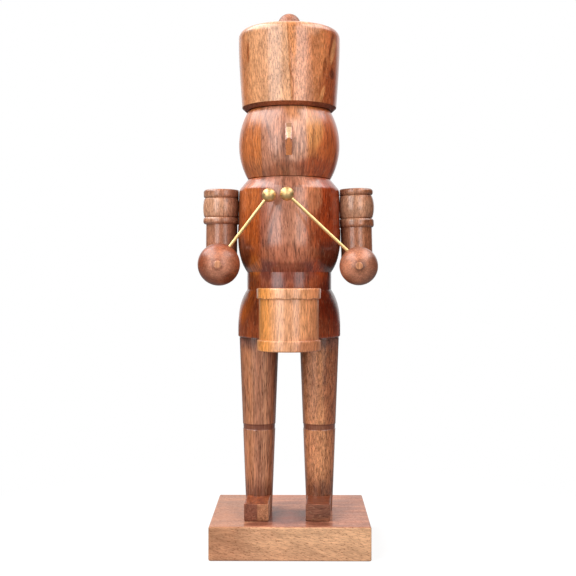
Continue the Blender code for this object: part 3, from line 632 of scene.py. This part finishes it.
# The base's grain lies level: its local X points down, and its local Z to the right, dipping 11 degrees
base_wood = lacquered_wood(
    "base_wood",
    [(-12, (0.63, 0.352, 0.197)), (0, (0.61, 0.33, 0.183)), (14, (0.57, 0.285, 0.157))],
    centre=(0, 0, 11 * MM),
    turn=(0, math.radians(101), 0),
    seed=1.9,
    patches=[
        ((0, 0, -46), (60, 80, 26), (0.38, 0.165, 0.085), 0.7),
        ((-2.4, -50, -21.9), (5.5, 4, 15), (0.44, 0.225, 0.125), 0.7, -11),
        # Dark patches on the top between the feet and in front of each foot: painted shadow and reflection
        # of the legs and feet.
        ((-12.8, -24, -2.5), (2.2, 34, 25), (0.155, 0.046, 0.029), 0.95, -11),
        ((-9, -42, -22), (2.5, 6.4, 11), (0.15, 0.045, 0.027), 0.9, -11),
        ((-16.6, -41, 17), (2.5, 9, 11), (0.14, 0.042, 0.025), 0.9, -11),
    ],
    # The faces that look up take darker tints than the front: painted shade on the top.
    top_tints=((0.44, 0.18, 0.106), (0.32, 0.122, 0.071)),
    streaks=0.15, pores=0.85, fibres=0.2, grain=1.25, dash=0.35, coat=0.32, haze=0.06,
)
knob_wood = lacquered_wood(
    "knob_wood",
    [(-9, (0.22, 0.085, 0.05)), (0, (0.36, 0.155, 0.095)), (9, (0.20, 0.075, 0.042))],
    coat=0.35,
)
dowel_wood = lacquered_wood(
    "dowel_wood", [(-20, (0.48, 0.21, 0.11)), (20, (0.50, 0.21, 0.10))], seed=0.4, pores=0.3
)
# Across each leg: wood tones, darkening towards both edges as painted shade.
leg_tones_and_edge_shade = {
    "left": [
        (-14, (0.20, 0.07, 0.033)), (-10, (0.33, 0.12, 0.053)), (-6, (0.44, 0.17, 0.075)),
        (-3.5, (0.455, 0.185, 0.09)), (-1.5, (0.40, 0.16, 0.085)), (1, (0.38, 0.15, 0.078)),
        (4.5, (0.51, 0.22, 0.112)), (8, (0.38, 0.138, 0.068)), (13, (0.23, 0.077, 0.04)),
    ],
    "right": [
        (-14, (0.24, 0.085, 0.04)), (-8, (0.48, 0.187, 0.083)), (3, (0.52, 0.22, 0.095)),
        (9, (0.36, 0.12, 0.045)), (13, (0.18, 0.052, 0.02)),
    ],
}
leg_patches = {
    "left": [],
    "right": [
        ((9, 0, 116), (10, 40, 44), (0.26, 0.078, 0.031), 0.85),
        ((-5, 0, 116), (6, 40, 36), (0.50, 0.215, 0.11), 0.6),
    ],
}
leg_grain = {"left": {"wander": 0.6 * MM, "dash": 0.17, "blotch": 0.1}, "right": {"dash": 0.5}}
foot_boards = {
    "left": [
        (-9, (0.21, 0.07, 0.04)), (-0.2, (0.21, 0.07, 0.04)), (0.1, (0.38, 0.16, 0.08)),
        (9, (0.40, 0.172, 0.086)),
    ],
    "right": [(-9, (0.22, 0.085, 0.05)), (3, (0.18, 0.07, 0.042)), (12, (0.30, 0.11, 0.05))],
}
foot_grain = {
    "left": {"turn": (math.radians(80), 0, 0), "wander": 0.1 * MM},
    "right": {"turn": (0, math.radians(84), 0), "wander": 1.0 * MM},
}
foot_tops = {
    "left": ((0.27, 0.074, 0.027), (0.17, 0.038, 0.015)),
    "right": ((0.18, 0.048, 0.02), (0.13, 0.03, 0.012)),
}
arm_boards = {
    "left": [
        (-14, (0.22, 0.084, 0.045)), (-7, (0.33, 0.138, 0.077)), (4, (0.325, 0.13, 0.073)),
        (13, (0.16, 0.055, 0.029)),
    ],
    "right": [
        (-14, (0.22, 0.08, 0.04)), (-5, (0.35, 0.142, 0.078)), (4.5, (0.37, 0.15, 0.078)),
        (5.5, (0.25, 0.086, 0.04)), (14, (0.20, 0.066, 0.03)),
    ],
}
# Out from each hand's middle: the dowel's end and rings of end grain, then a darker rim towards the ball's
# edge that is painted shade.
hand_rings_and_rim_shade = {
    "left": [
        (0, (0.50, 0.21, 0.118)), (2.3, (0.50, 0.21, 0.118)), (2.7, (0.32, 0.11, 0.062)),
        (4.0, (0.35, 0.13, 0.073)), (4.6, (0.46, 0.18, 0.104)), (7.5, (0.45, 0.172, 0.098)),
        (9.5, (0.33, 0.11, 0.056)), (12, (0.28, 0.074, 0.03)), (15, (0.16, 0.034, 0.012)),
    ],
    "right": [
        (0, (0.46, 0.18, 0.09)), (2.6, (0.18, 0.06, 0.03)), (4.0, (0.30, 0.11, 0.055)),
        (6, (0.45, 0.176, 0.098)), (10, (0.42, 0.16, 0.088)), (14, (0.22, 0.07, 0.034)),
    ],
}
# Darker patches at the sides and lower side of the hands: painted shade.
hand_painted_shade = {
    "left": [
        ((9, -10, 3), (7, 7, 14), (0.17, 0.03, 0.009), 0.75),
        ((-14, 1, 4), (8, 12, 14), (0.18, 0.043, 0.017), 0.8),
    ],
    "right": [((14, 0, 4), (9, 14, 14), (0.16, 0.048, 0.024), 0.8)],
}
FACING = (math.radians(90), 0, 0)  # turns local Z to the figure's front
leg_wood, foot_wood, arm_wood, hand_wood = {}, {}, {}, {}
for side in SIGN:
    leg_x = middle_of("leg_" + side).x
    arm_x = middle_of("upper_arm_" + side).x
    band_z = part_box("leg_" + side)[0].z + BAND_RISE
    band = (band_z - BAND_BEVEL, band_z + BAND_HEIGHT + 3 * BAND_BEVEL, (0.13, 0.032, 0.017))
    leg_wood[side] = lacquered_wood(
        "leg_wood_" + side,
        leg_tones_and_edge_shade[side],
        centre=(leg_x, 0, 0),
        seed=0.7 + 0.4 * SIGN[side],
        patches=[
            *leg_patches[side],
            # Darker towards the foot, and darker at the top under the skirt, where it is painted shade.
            ((0, 0, 26), (40, 40, 22), (0.14, 0.045, 0.024), 0.85),
            ((0, 0, 152), (40, 40, 14), (0.18, 0.07, 0.05), 0.8),
        ],
        bands=[band],
        turned=12 * MM, streaks=0.65, pores=0.95, fibres=0.42,
        **leg_grain[side],
    )
    foot_wood[side] = lacquered_wood(
        "foot_wood_" + side,
        foot_boards[side],
        centre=(leg_x, 0, 30 * MM),
        seed=0.9,
        top_tints=foot_tops[side],
        streaks=0.6, coat=0.4, haze=0.35,
        **foot_grain[side],
    )
    arm_wood[side] = lacquered_wood(
        "arm_wood_" + side,
        arm_boards[side],
        centre=(arm_x, 0, 240 * MM),
        seed=0.3 + 0.2 * SIGN[side],
        patches=[((-4, 0, 0), (14, 40, 11), (0.50, 0.255, 0.15), 0.8)],
        turned=12 * MM, streaks=0.25, pores=0.65, dash=0.5,
    )
    hand_wood[side] = lacquered_wood(
        "hand_wood_" + side,
        hand_rings_and_rim_shade[side],
        centre=tuple(middle_of("hand_" + side)),
        turn=FACING,
        seed=0.6 + 0.1 * SIGN[side], wander=0.4 * MM,
        patches=hand_painted_shade[side],
        rounds=True, streaks=0.25, pores=0.5, fibres=0.3, dash=0.8, coat=0.7, haze=0.30,
    )
brass = polished_metal("brass", (0.72, 0.49, 0.225), (0.56, 0.365, 0.15), 0.46)
steel = polished_metal("steel", (0.55, 0.55, 0.56), (0.35, 0.34, 0.33), 0.34)


# Pieces


def block_grid(low, high, edge, corner):
    """Eased block: rounded-rectangle rings, drawn in over a quarter circle at the top and bottom edges.

    Ring point: the rectangle's half sizes less the corner, plus the corner's circle, all less the inset."""
    low, high = np.array(low), np.array(high)
    half = (high - low) / 2
    arc = np.stack([edge * (1 - np.sin(QUARTER)), half[2] - edge * (1 - np.cos(QUARTER))], 1)
    wall = np.linspace(half[2] - edge, edge - half[2], BLOCK_WALL_ROWS)[1:-1]
    wall = np.stack([0 * wall, wall], 1)
    rings = np.concatenate([arc, wall, (arc * (1, -1))[::-1]])
    sides = [np.linspace(-1, 1, steps, endpoint=False) for steps in BLOCK_SIDE_STEPS]
    angle = QUARTER[:-1]
    # Along each side the straight share runs from -1 to 1, and round each corner the angle turns
    across, along, bend = (np.ones_like(part) for part in (*sides, angle))
    straight_x = np.concatenate([along, bend, -sides[0], -bend, -along, -bend, sides[0], bend])
    straight_y = np.concatenate([sides[1], bend, across, bend, -sides[1], -bend, -across, -bend])
    quadrants = [np.concatenate([0 * sides[1 - index % 2], angle]) for index in range(4)]
    turns = np.concatenate([index * math.pi / 2 + part for index, part in enumerate(quadrants)])
    inset, height = rings[:, :1], rings[:, 1:]
    x = straight_x * (half[0] - corner) + np.cos(turns) * (corner - inset)
    y = straight_y * (half[1] - corner) + np.sin(turns) * (corner - inset)
    walls = np.stack([x, y, height + 0 * x], -1)
    shrink = np.linspace(0, 1, BLOCK_CAP_ROWS)[:-1, None, None]
    top = walls[:1] * (shrink * (1, 1, 0) + (0, 0, 1))
    bottom = walls[-1:] * (shrink[::-1] * (1, 1, 0) + (0, 0, 1))
    return np.concatenate([top, walls, bottom]) + (low + high) / 2


def make_leg(side):
    """Straight taper from the hip to the foot, with a shallow band turned into it at boot height."""
    low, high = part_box("leg_" + side)
    top_radius = (high.x - low.x) / 2
    length = high.z - low.z

    def radius(height):
        return LEG_FOOT_RADIUS + (top_radius - LEG_FOOT_RADIUS) * height / length

    band_top = BAND_RISE + BAND_HEIGHT
    corners = [
        (0, length),
        (top_radius, length, LEG_EDGE),
        (radius(band_top + BAND_BEVEL), band_top + BAND_BEVEL, LEG_EDGE),
        (radius(band_top) - BAND_DEPTH, band_top, LEG_EDGE / 2),
        (radius(BAND_RISE) - BAND_DEPTH, BAND_RISE, LEG_EDGE / 2),
        (radius(BAND_RISE - BAND_BEVEL), BAND_RISE - BAND_BEVEL, LEG_EDGE),
        (LEG_FOOT_RADIUS, 0, LEG_EDGE / 2),
        (0, 0),
    ]
    grid = spin(outline(corners), ARM_SIDES) + ((low.x + high.x) / 2, 0, low.z)
    add_piece("leg_" + side, grid, "figure", leg_wood[side])


def make_foot(side):
    """Toe block whose heel points are moved ahead to the round of the leg, plus the gap."""
    low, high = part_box("foot_" + side)
    leg_low, leg_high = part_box("leg_" + side)
    half = FOOT_WIDTH / 2
    height = high.z - low.z
    grid = block_grid((-half, -FOOT_REACH, 0), (half, -LEG_FOOT_RADIUS / 2, height), FOOT_EDGE, FOOT_EDGE)
    turn = Matrix.Rotation(-FOOT_TURN[side], 4, "Z")
    grid = placed(grid, turn)
    top_radius = (leg_high.x - leg_low.x) / 2
    taper = (top_radius - LEG_FOOT_RADIUS) / (leg_high.z - leg_low.z)
    reach = LEG_FOOT_RADIUS + taper * grid[..., 2] + GAP
    heel = -np.sqrt(np.maximum(reach**2 - grid[..., 0] ** 2, 0))
    grid[..., 1] = np.minimum(grid[..., 1], heel)
    grid = grid + ((leg_low.x + leg_high.x) / 2, 0, low.z)
    add_piece("foot_" + side, grid, "figure", foot_wood[side])


def make_torso():
    """Neck, sloped shoulder, barrel chest, straight waist, bell skirt and hem.

    Round each arm's peg, points that stand out past the arm's flat less the gap are moved in to it."""
    low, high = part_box("torso")
    drops = (SHOULDER_HEIGHT, HIGH_CHEST_HEIGHT, LOW_CHEST_HEIGHT, WAIST_HEIGHT, SKIRT_HEIGHT)
    radii = (SHOULDER_RADIUS, (high.x - low.x) / 2, WAIST_RADIUS, WAIST_RADIUS, BELLY_RADIUS)
    shoulder, chest, waist, skirt, belly = zip(radii, high.z - np.cumsum(drops))
    corners = [
        (0, high.z),
        (NECK_RADIUS, high.z, HEM_EDGE / 2),
        (*shoulder, SHOULDER_EDGE),
        *swell(chest, shoulder, 2)[::-1][4:],  # its first points give way to the shoulder's fillet
        chest,
        *swell(chest, waist, 3)[:-1],
        (*waist, WAIST_EDGE),
        (*skirt, WAIST_EDGE),
        *swell(belly, skirt, 3)[::-1][1:],
        belly,
        (BELLY_RADIUS, low.z, HEM_EDGE),
        (0, low.z),
    ]
    grid = spin(outline(corners))
    for side, sign in SIGN.items():
        arm_low, arm_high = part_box("upper_arm_" + side)
        seat = min(abs(arm_low.x), abs(arm_high.x)) - GAP
        beads = TOP_BEAD_HEIGHT[side] + SLEEVE_HEIGHT[side] + LOW_BEAD_HEIGHT[side]
        bead_low = beads + 2 * GROOVE_HEIGHT - ARM_TOP_RISE[side]
        from_peg = np.hypot(grid[..., 1], grid[..., 2] - arm_high.z + ARM_TOP_RISE[side])
        inside = np.minimum(sign * grid[..., 0], seat)
        grid[..., 0] = np.where(from_peg < bead_low + SEAT_MARGIN, sign * inside, grid[..., 0])
    add_piece("torso", grid, "figure", torso_wood)


def head_radius(height):
    """Barrel of the head by height above its lower end: a circular arc between equal ends."""
    size = size_of("head")
    half = size.z / 2
    bulge = size.x / 2 - HEAD_END_RADIUS
    arc = (half**2 + bulge**2) / (2 * bulge)
    return size.x / 2 - arc + np.sqrt(arc**2 - (height - half) ** 2)


def make_head():
    """Barrel of head_radius at each height, with eased ends."""
    foot, height, _ = turned_size("head")
    levels = np.linspace(height, 0, HEAD_ROWS)
    barrel = np.stack([head_radius(levels), levels], 1)
    corners = [(0, height), (*barrel[0], HEAD_EDGE), *barrel[1:-1], (*barrel[-1], HEAD_EDGE), (0, 0)]
    add_piece("head", spin(outline(corners)) + (0, 0, foot), "figure", head_wood)


def make_nose():
    """Wedge let into the head: its side outline is a ring, carried across the width.

    The ridge falls from the middle to the sides as the square of the way across, and the ends are eased
    over a quarter circle. Faces that look up are pale wood, the eased sides are pinkish and the rest is
    darker."""
    low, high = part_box("nose")
    half = (high.x - low.x) / 2
    head_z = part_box("head")[0].z
    brow = -float(head_radius(high.z - head_z))
    chin = -float(head_radius(low.z - head_z))
    eased = half - NOSE_EDGE * (1 - np.cos(QUARTER))
    flat = np.linspace(half - NOSE_EDGE, NOSE_EDGE - half, NOSE_ROWS)[1:-1]
    stations = np.concatenate([eased, flat, -eased[::-1]])
    inset = NOSE_EDGE * (1 - np.sin(QUARTER))
    insets = np.concatenate([inset, 0 * flat, inset[::-1]])
    ridge = high.z - NOSE_TIP_DROP - NOSE_ARCH * (stations / half) ** 2
    level = np.ones_like(stations)
    side_y = np.stack([high.y * level, brow * level, low.y * level, chin * level, high.y * level], 1)
    side_z = np.stack([high.z * level, high.z * level, ridge, low.z * level, low.z * level], 1)
    ring = np.stack([side_y, side_z], -1)
    steps = np.linspace(0, 1, NOSE_SIDE_STEPS)[:-1, None]
    ring = ring[:, :, None] + (np.roll(ring, -1, 1) - ring)[:, :, None] * steps
    ring = ring.reshape(len(stations), -1, 2)
    middle = ring.mean(axis=1, keepdims=True)
    out = ring - middle
    ring = middle + out * (1 - insets[:, None, None] / np.linalg.norm(out, axis=-1).min())
    across = np.repeat(stations[:, None, None], ring.shape[1], 1)
    grid = np.concatenate([across, ring], -1)
    caps = [np.repeat(grid[row].mean(axis=0)[None], grid.shape[1], 0)[None] for row in (0, -1)]
    grid = np.concatenate([caps[0], grid, caps[1]])
    nose = add_piece("nose", grid, "figure", nose_dark_wood, 30)
    nose.data.materials.append(nose_pale_wood)
    nose.data.materials.append(nose_side_wood)
    looks = facing(nose.data)
    pale = np.where(looks[:, 2] > LOOKS_UP, 1, 0)
    nose.data.polygons.foreach_set("material_index", np.where(abs(looks[:, 0]) > LOOKS_ASIDE, 2, pale))


def make_hat():
    """Cap with a rounded top edge, sides that draw in towards the rim, and a chamfer under the rim."""
    foot, height, top_radius = turned_size("hat")
    wall = (top_radius, height - HAT_WALL)
    rim = (HAT_RIM_RADIUS, HAT_CHAMFER)
    corners = [
        (0, height),
        (top_radius, height, HAT_EDGE),
        wall,
        *swell(wall, rim, 1.4)[:-1],
        (*rim, HAT_RIM_EDGE),
        (HAT_FOOT_RADIUS, 0, HAT_RIM_EDGE),
        (0, 0),
    ]
    hat = add_piece("hat", spin(outline(corners)) + (0, 0, foot), "figure", hat_wood)
    # Faces that look down, under the rim, take the darker wood: painted shade.
    hat.data.materials.append(hat_underside_painted_shade)
    hat.data.polygons.foreach_set("material_index", np.where(facing(hat.data)[:, 2] < -LOOKS_UP, 1, 0))


def make_knob():
    """Ball down to where it sits in the hat, then the straight tenon below it."""
    low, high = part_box("hat_knob")
    radius = (high.x - low.x) / 2
    seat = math.acos(-KNOB_SINK / radius)
    ball = ball_arc(radius, 0, seat)
    foot = -KNOB_SINK - KNOB_TENON
    tenon = np.array([(KNOB_TENON_RADIUS, -KNOB_SINK), (KNOB_TENON_RADIUS, foot), (0, foot)])
    grid = spin(stepped(np.concatenate([ball, tenon])), SMALL_SIDES) + (0, 0, high.z - radius)
    add_piece("hat_knob", grid, "figure", knob_wood)


def make_drum():
    """Turned drum with two rims. The top rim's lower edge rises and falls by the sum of two sines of the
    angle, fading above and below as a bell curve, and points behind the belly's round are moved ahead
    to it, plus the gap."""
    foot, height, rim = turned_size("drum")
    top_rim = height - DRUM_TOP_RIM
    corners = [
        (0, height),
        (rim, height, RIM_EDGE),
        (rim, top_rim, RIM_EDGE),
        (DRUM_RADIUS, top_rim, RIM_EDGE / 3),
        (DRUM_RADIUS, DRUM_LOW_RIM, RIM_EDGE / 3),
        (rim, DRUM_LOW_RIM, RIM_EDGE),
        (rim, 0, RIM_EDGE),
        (0, 0),
    ]
    grid = spin(outline(corners))
    angle = np.arctan2(grid[..., 1], grid[..., 0])
    wave = np.sin(9 * angle + 0.6) + 0.7 * np.sin(16 * angle)
    grid[..., 2] += RIM_WAVE * wave * np.exp(-(((grid[..., 2] - top_rim) / (2 * RIM_EDGE)) ** 2))
    grid = grid + (0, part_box("drum")[0].y + rim, foot)
    fit = BELLY_RADIUS + GAP
    grid[..., 1] = np.minimum(grid[..., 1], -np.sqrt(fit**2 - grid[..., 0] ** 2))
    add_piece("drum", grid, "figure", drum_wood)


def make_arm(side):
    """Upper arm, forearm, hand, wrist dowel and brass stick of one arm."""
    sign = SIGN[side]
    body = "arm_" + side
    low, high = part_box("upper_arm_" + side)
    hand_low, hand_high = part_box("hand_" + side)
    flat_x = high.x if sign < 0 else low.x
    drop = ELBOW_DROP[side]
    elbow = Vector((flat_x + sign * ARM_FLAT, 0, high.z - ARM_TOP_RISE[side] - drop))
    toe_in = Matrix.Rotation(-sign * ARM_TOE_IN, 4, "Z")
    ahead = toe_in @ Vector((0, -1, 0))
    hand_radius = (hand_high.x - hand_low.x) / 2 - HAND_EASE
    hand_ahead = -middle_of("drumstick_tip_" + side).y / math.cos(ARM_TOE_IN)
    hand = elbow + ahead * hand_ahead

    top = drop + ARM_TOP_RISE[side]
    top_bead_low = top - TOP_BEAD_HEIGHT[side]
    sleeve_end = SLEEVE_END_RADIUS[side]
    groove = sleeve_end - GROOVE_DEPTH
    sleeve_top = top_bead_low - GROOVE_HEIGHT
    sleeve_low = sleeve_top - SLEEVE_HEIGHT[side]
    bead_top = sleeve_low - GROOVE_HEIGHT
    bead_low = bead_top - LOW_BEAD_HEIGHT[side]
    middle = (SLEEVE_RADIUS[side], (sleeve_top + sleeve_low) / 2)
    corners = [
        (0, top),
        *roll(TOP_BEAD_RADIUS[side], top, top_bead_low, TOP_BEAD_RADIUS[side] - TOP_EASE, groove),
        (sleeve_end, sleeve_top, SLEEVE_EDGE),
        *swell(middle, (sleeve_end, sleeve_top), 2)[::-1],
        middle,
        *swell(middle, (sleeve_end, sleeve_low), 2),
        (sleeve_end, sleeve_low, SLEEVE_EDGE),
        *roll(LOW_BEAD_RADIUS[side], bead_top, bead_low, groove, ARM_RADIUS),
        (ARM_RADIUS, -ARM_RADIUS),
        (0, -ARM_RADIUS),
    ]
    # Below the elbow's mitre each point rises to the plane, and beyond the chest's flat it moves out to it
    lean = Matrix.Rotation(-sign * ARM_LEAN[side], 4, "Y")
    grid = placed(spin(outline(corners), ARM_SIDES), lean)
    grid[..., 2] = np.maximum(grid[..., 2], -grid[..., 1] + GAP * math.sqrt(0.5))
    grid = placed(grid, Matrix.Translation(elbow) @ toe_in)
    grid[..., 0] = sign * np.maximum(sign * grid[..., 0], abs(flat_x))
    add_piece("upper_arm_" + side, grid, body, arm_wood[side])

    wrist_seat = math.sqrt(hand_radius**2 - WRIST_RADIUS**2)
    length = hand_ahead - wrist_seat - GAP
    corners = [
        (0, length),
        (WRIST_RADIUS, length, WRIST_EDGE),
        (ARM_RADIUS, length / 2, FOREARM_EDGE),
        (ARM_RADIUS, -ARM_RADIUS),
        (0, -ARM_RADIUS),
    ]
    # The forearm's own Z runs ahead. Its points behind the mitre move forward to the plane
    axes = Matrix(((1, 0, 0), (0, 0, -1), (0, 1, 0))).to_4x4()
    grid = spin(outline(corners), ARM_SIDES)
    grid[..., 2] = np.maximum(grid[..., 2], grid[..., 1] + GAP * math.sqrt(0.5))
    grid = placed(grid, Matrix.Translation(elbow) @ toe_in @ axes)
    add_piece("forearm_" + side, grid, body, arm_wood[side])

    seat = math.pi - math.asin(WRIST_RADIUS / hand_radius)
    profile = np.concatenate([ball_arc(hand_radius, 0, seat, 72), [(0, -wrist_seat)]])
    grid = placed(spin(stepped(profile), ARM_SIDES), along_axis(hand, ahead))
    add_piece("hand_" + side, grid, body, hand_wood[side])

    show = hand_radius + WRIST_PROUD[side]
    heel = -wrist_seat - GAP - WRIST_DOWEL_DEPTH
    corners = [
        (0, show),
        (WRIST_DOWEL_RADIUS, show, WRIST_DOWEL_EDGE),
        (WRIST_DOWEL_RADIUS, heel, WRIST_DOWEL_EDGE),
        (0, heel),
    ]
    grid = placed(spin(outline(corners), SMALL_SIDES), along_axis(hand, ahead))
    add_piece("wrist_dowel_" + side, grid, body, dowel_wood)

    make_stick(side, body)


def make_stick(side, body):
    """Brass rod, whose ends are the far corners of its solid, and its ball tip."""
    tip = middle_of("drumstick_tip_" + side)
    tip_radius = size_of("drumstick_tip_" + side).z / 2
    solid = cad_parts["drumstick_rod_" + side].data
    points = np.empty(len(solid.vertices) * 3, np.float32)
    solid.vertices.foreach_get("co", points)
    points = points.reshape(-1, 3)
    away = np.linalg.norm(points - np.array(tip), axis=1)
    top = points[away < away.min() + ROD_RADIUS].mean(axis=0)
    heel = points[away > away.max() - ROD_RADIUS].mean(axis=0)
    length = float(np.linalg.norm(top - heel))
    corners = [(0, length), (ROD_RADIUS, length, ROD_EDGE), (ROD_RADIUS, 0, ROD_EDGE), (0, 0)]
    grid = placed(spin(outline(corners), SMALL_SIDES), along_axis(heel, top - heel))
    add_piece("drumstick_rod_" + side, grid, body, brass)
    grid = placed(spin(ball_arc(tip_radius, 0, math.pi, 48), SMALL_SIDES), along_axis(tip, top - heel))
    add_piece("drumstick_tip_" + side, grid, body, brass)


make_torso()
make_head()
make_nose()
make_hat()
make_knob()
make_drum()
for side in SIGN:
    make_leg(side)
    make_foot(side)
    make_arm(side)

# The base, with its screw holes, the hidden dowels and the screws keep their solids
for name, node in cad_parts.items():
    if node.hide_render:
        continue
    finish = base_wood if name == "base_block" else steel if "screw" in name else dowel_wood
    node.data.materials.clear()
    node.data.materials.append(finish)


# Floor, light and camera


def ray_kinds(tree):
    """Outputs for each kind of ray, and one for rays straight from the camera or through glass."""
    path = add(tree, "LightPath").node.outputs
    return path, calc(tree, "MAXIMUM", path["Is Camera Ray"], path["Is Transmission Ray"])


def make_floor():
    """White floor that keeps the shadow: part plain white paint, part white seen as background."""
    mesh = bpy.data.meshes.new("floor")
    around = ((-1, -1), (1, -1), (1, 1), (-1, 1))
    corners = [(x * FLOOR_HALF, y * FLOOR_HALF, -FLOOR_DROP) for x, y in around]
    mesh.from_pydata(corners, [], [(0, 1, 2, 3)])
    floor = linked("floor", mesh)
    material, tree, shader = new_material("white_floor")
    tree.nodes.remove(shader)
    _, seen = ray_kinds(tree)
    paint = add(tree, "BsdfDiffuse", {"Color": mix(tree, seen, (0.2, 0.2, 0.2), (0.95, 0.95, 0.95))})
    white = add(tree, "Emission", {"Color": (1, 1, 1, 1), "Strength": 1.0})
    away = length_of(tree, add(tree, "TexCoord", output="Object"))
    share = calc(tree, "MULTIPLY", seen, spread(tree, away, *FLOOR_FADE, FLOOR_WHITE, 1.0))
    surface = add(tree, "MixShader", {0: share, 1: paint, 2: white})
    feed(tree, tree.nodes["Material Output"], {"Surface": surface})
    mesh.materials.append(material)


def make_world():
    """White background, with an even fill. Reflections see white behind the figure and dim elsewhere."""
    world = bpy.data.worlds.new("studio")
    bpy.context.scene.world = world
    world.use_nodes = True
    tree = world.node_tree
    path, seen = ray_kinds(tree)
    _, rearward, upward = split(tree, add(tree, "TexCoord", output="Generated"))
    wall = calc(tree, "MULTIPLY_ADD", upward, WALL_RISE, rearward)
    behind = spread(tree, wall, *WALL_EDGE, GLOSS_FRONT, 1.0)
    gloss = calc(tree, "MULTIPLY", behind, path["Is Glossy Ray"])
    fill = calc(tree, "MULTIPLY", path["Is Diffuse Ray"], FILL)
    strength = calc(tree, "MAXIMUM", calc(tree, "MAXIMUM", seen, gloss), fill)
    feed(tree, tree.nodes["Background"], {"Strength": strength, "Color": (1, 1, 1, 1)})


def add_lamp(name, azimuth, height, distance, size, radiance):
    """Soft box aimed at the chest: azimuth turns from the front towards the right, height is its elevation
    angle, and its power is pi times its area times its radiance."""
    lamp = bpy.data.lights.new(name, "AREA")
    lamp.shape = "RECTANGLE"
    lamp.size, lamp.size_y = size
    lamp.energy = math.pi * size[0] * size[1] * radiance
    item = linked(name, lamp)
    turn, rise = math.radians(azimuth), math.radians(height)
    outward = Vector((math.sin(turn) * math.cos(rise), -math.cos(turn) * math.cos(rise), math.sin(rise)))
    item.location = Vector((0, 0, LAMP_AIM)) + outward * distance
    item.rotation_euler = outward.to_track_quat("Z", "Y").to_euler()


def make_camera():
    """Level camera in front of the figure, turned slightly to the left."""
    camera = bpy.data.cameras.new("camera")
    camera.lens = CAMERA_LENS
    camera.sensor_width = 36
    camera.shift_y = CAMERA_SHIFT
    item = linked("camera", camera)
    item.location = (CAMERA_SIDE, -CAMERA_DISTANCE, CAMERA_HEIGHT)
    turn = math.atan2(CAMERA_SIDE - CAMERA_AIM_SIDE, CAMERA_DISTANCE)
    item.rotation_euler = (math.pi / 2, 0, turn)
    bpy.context.scene.camera = item


make_floor()
make_world()
add_lamp("left_soft_box", -32, 16, 1.3, (0.68, 1.10), 4.3)
add_lamp("right_soft_box", 27, 16, 1.3, (0.58, 1.10), 3.4)
add_lamp("left_overhead", -84, 53, 1.2, (1.55, 0.82), 6.3)
add_lamp("right_overhead", 82, 53, 1.2, (1.30, 0.68), 5.0)
make_camera()
bpy.context.scene.view_settings.view_transform = "Standard"
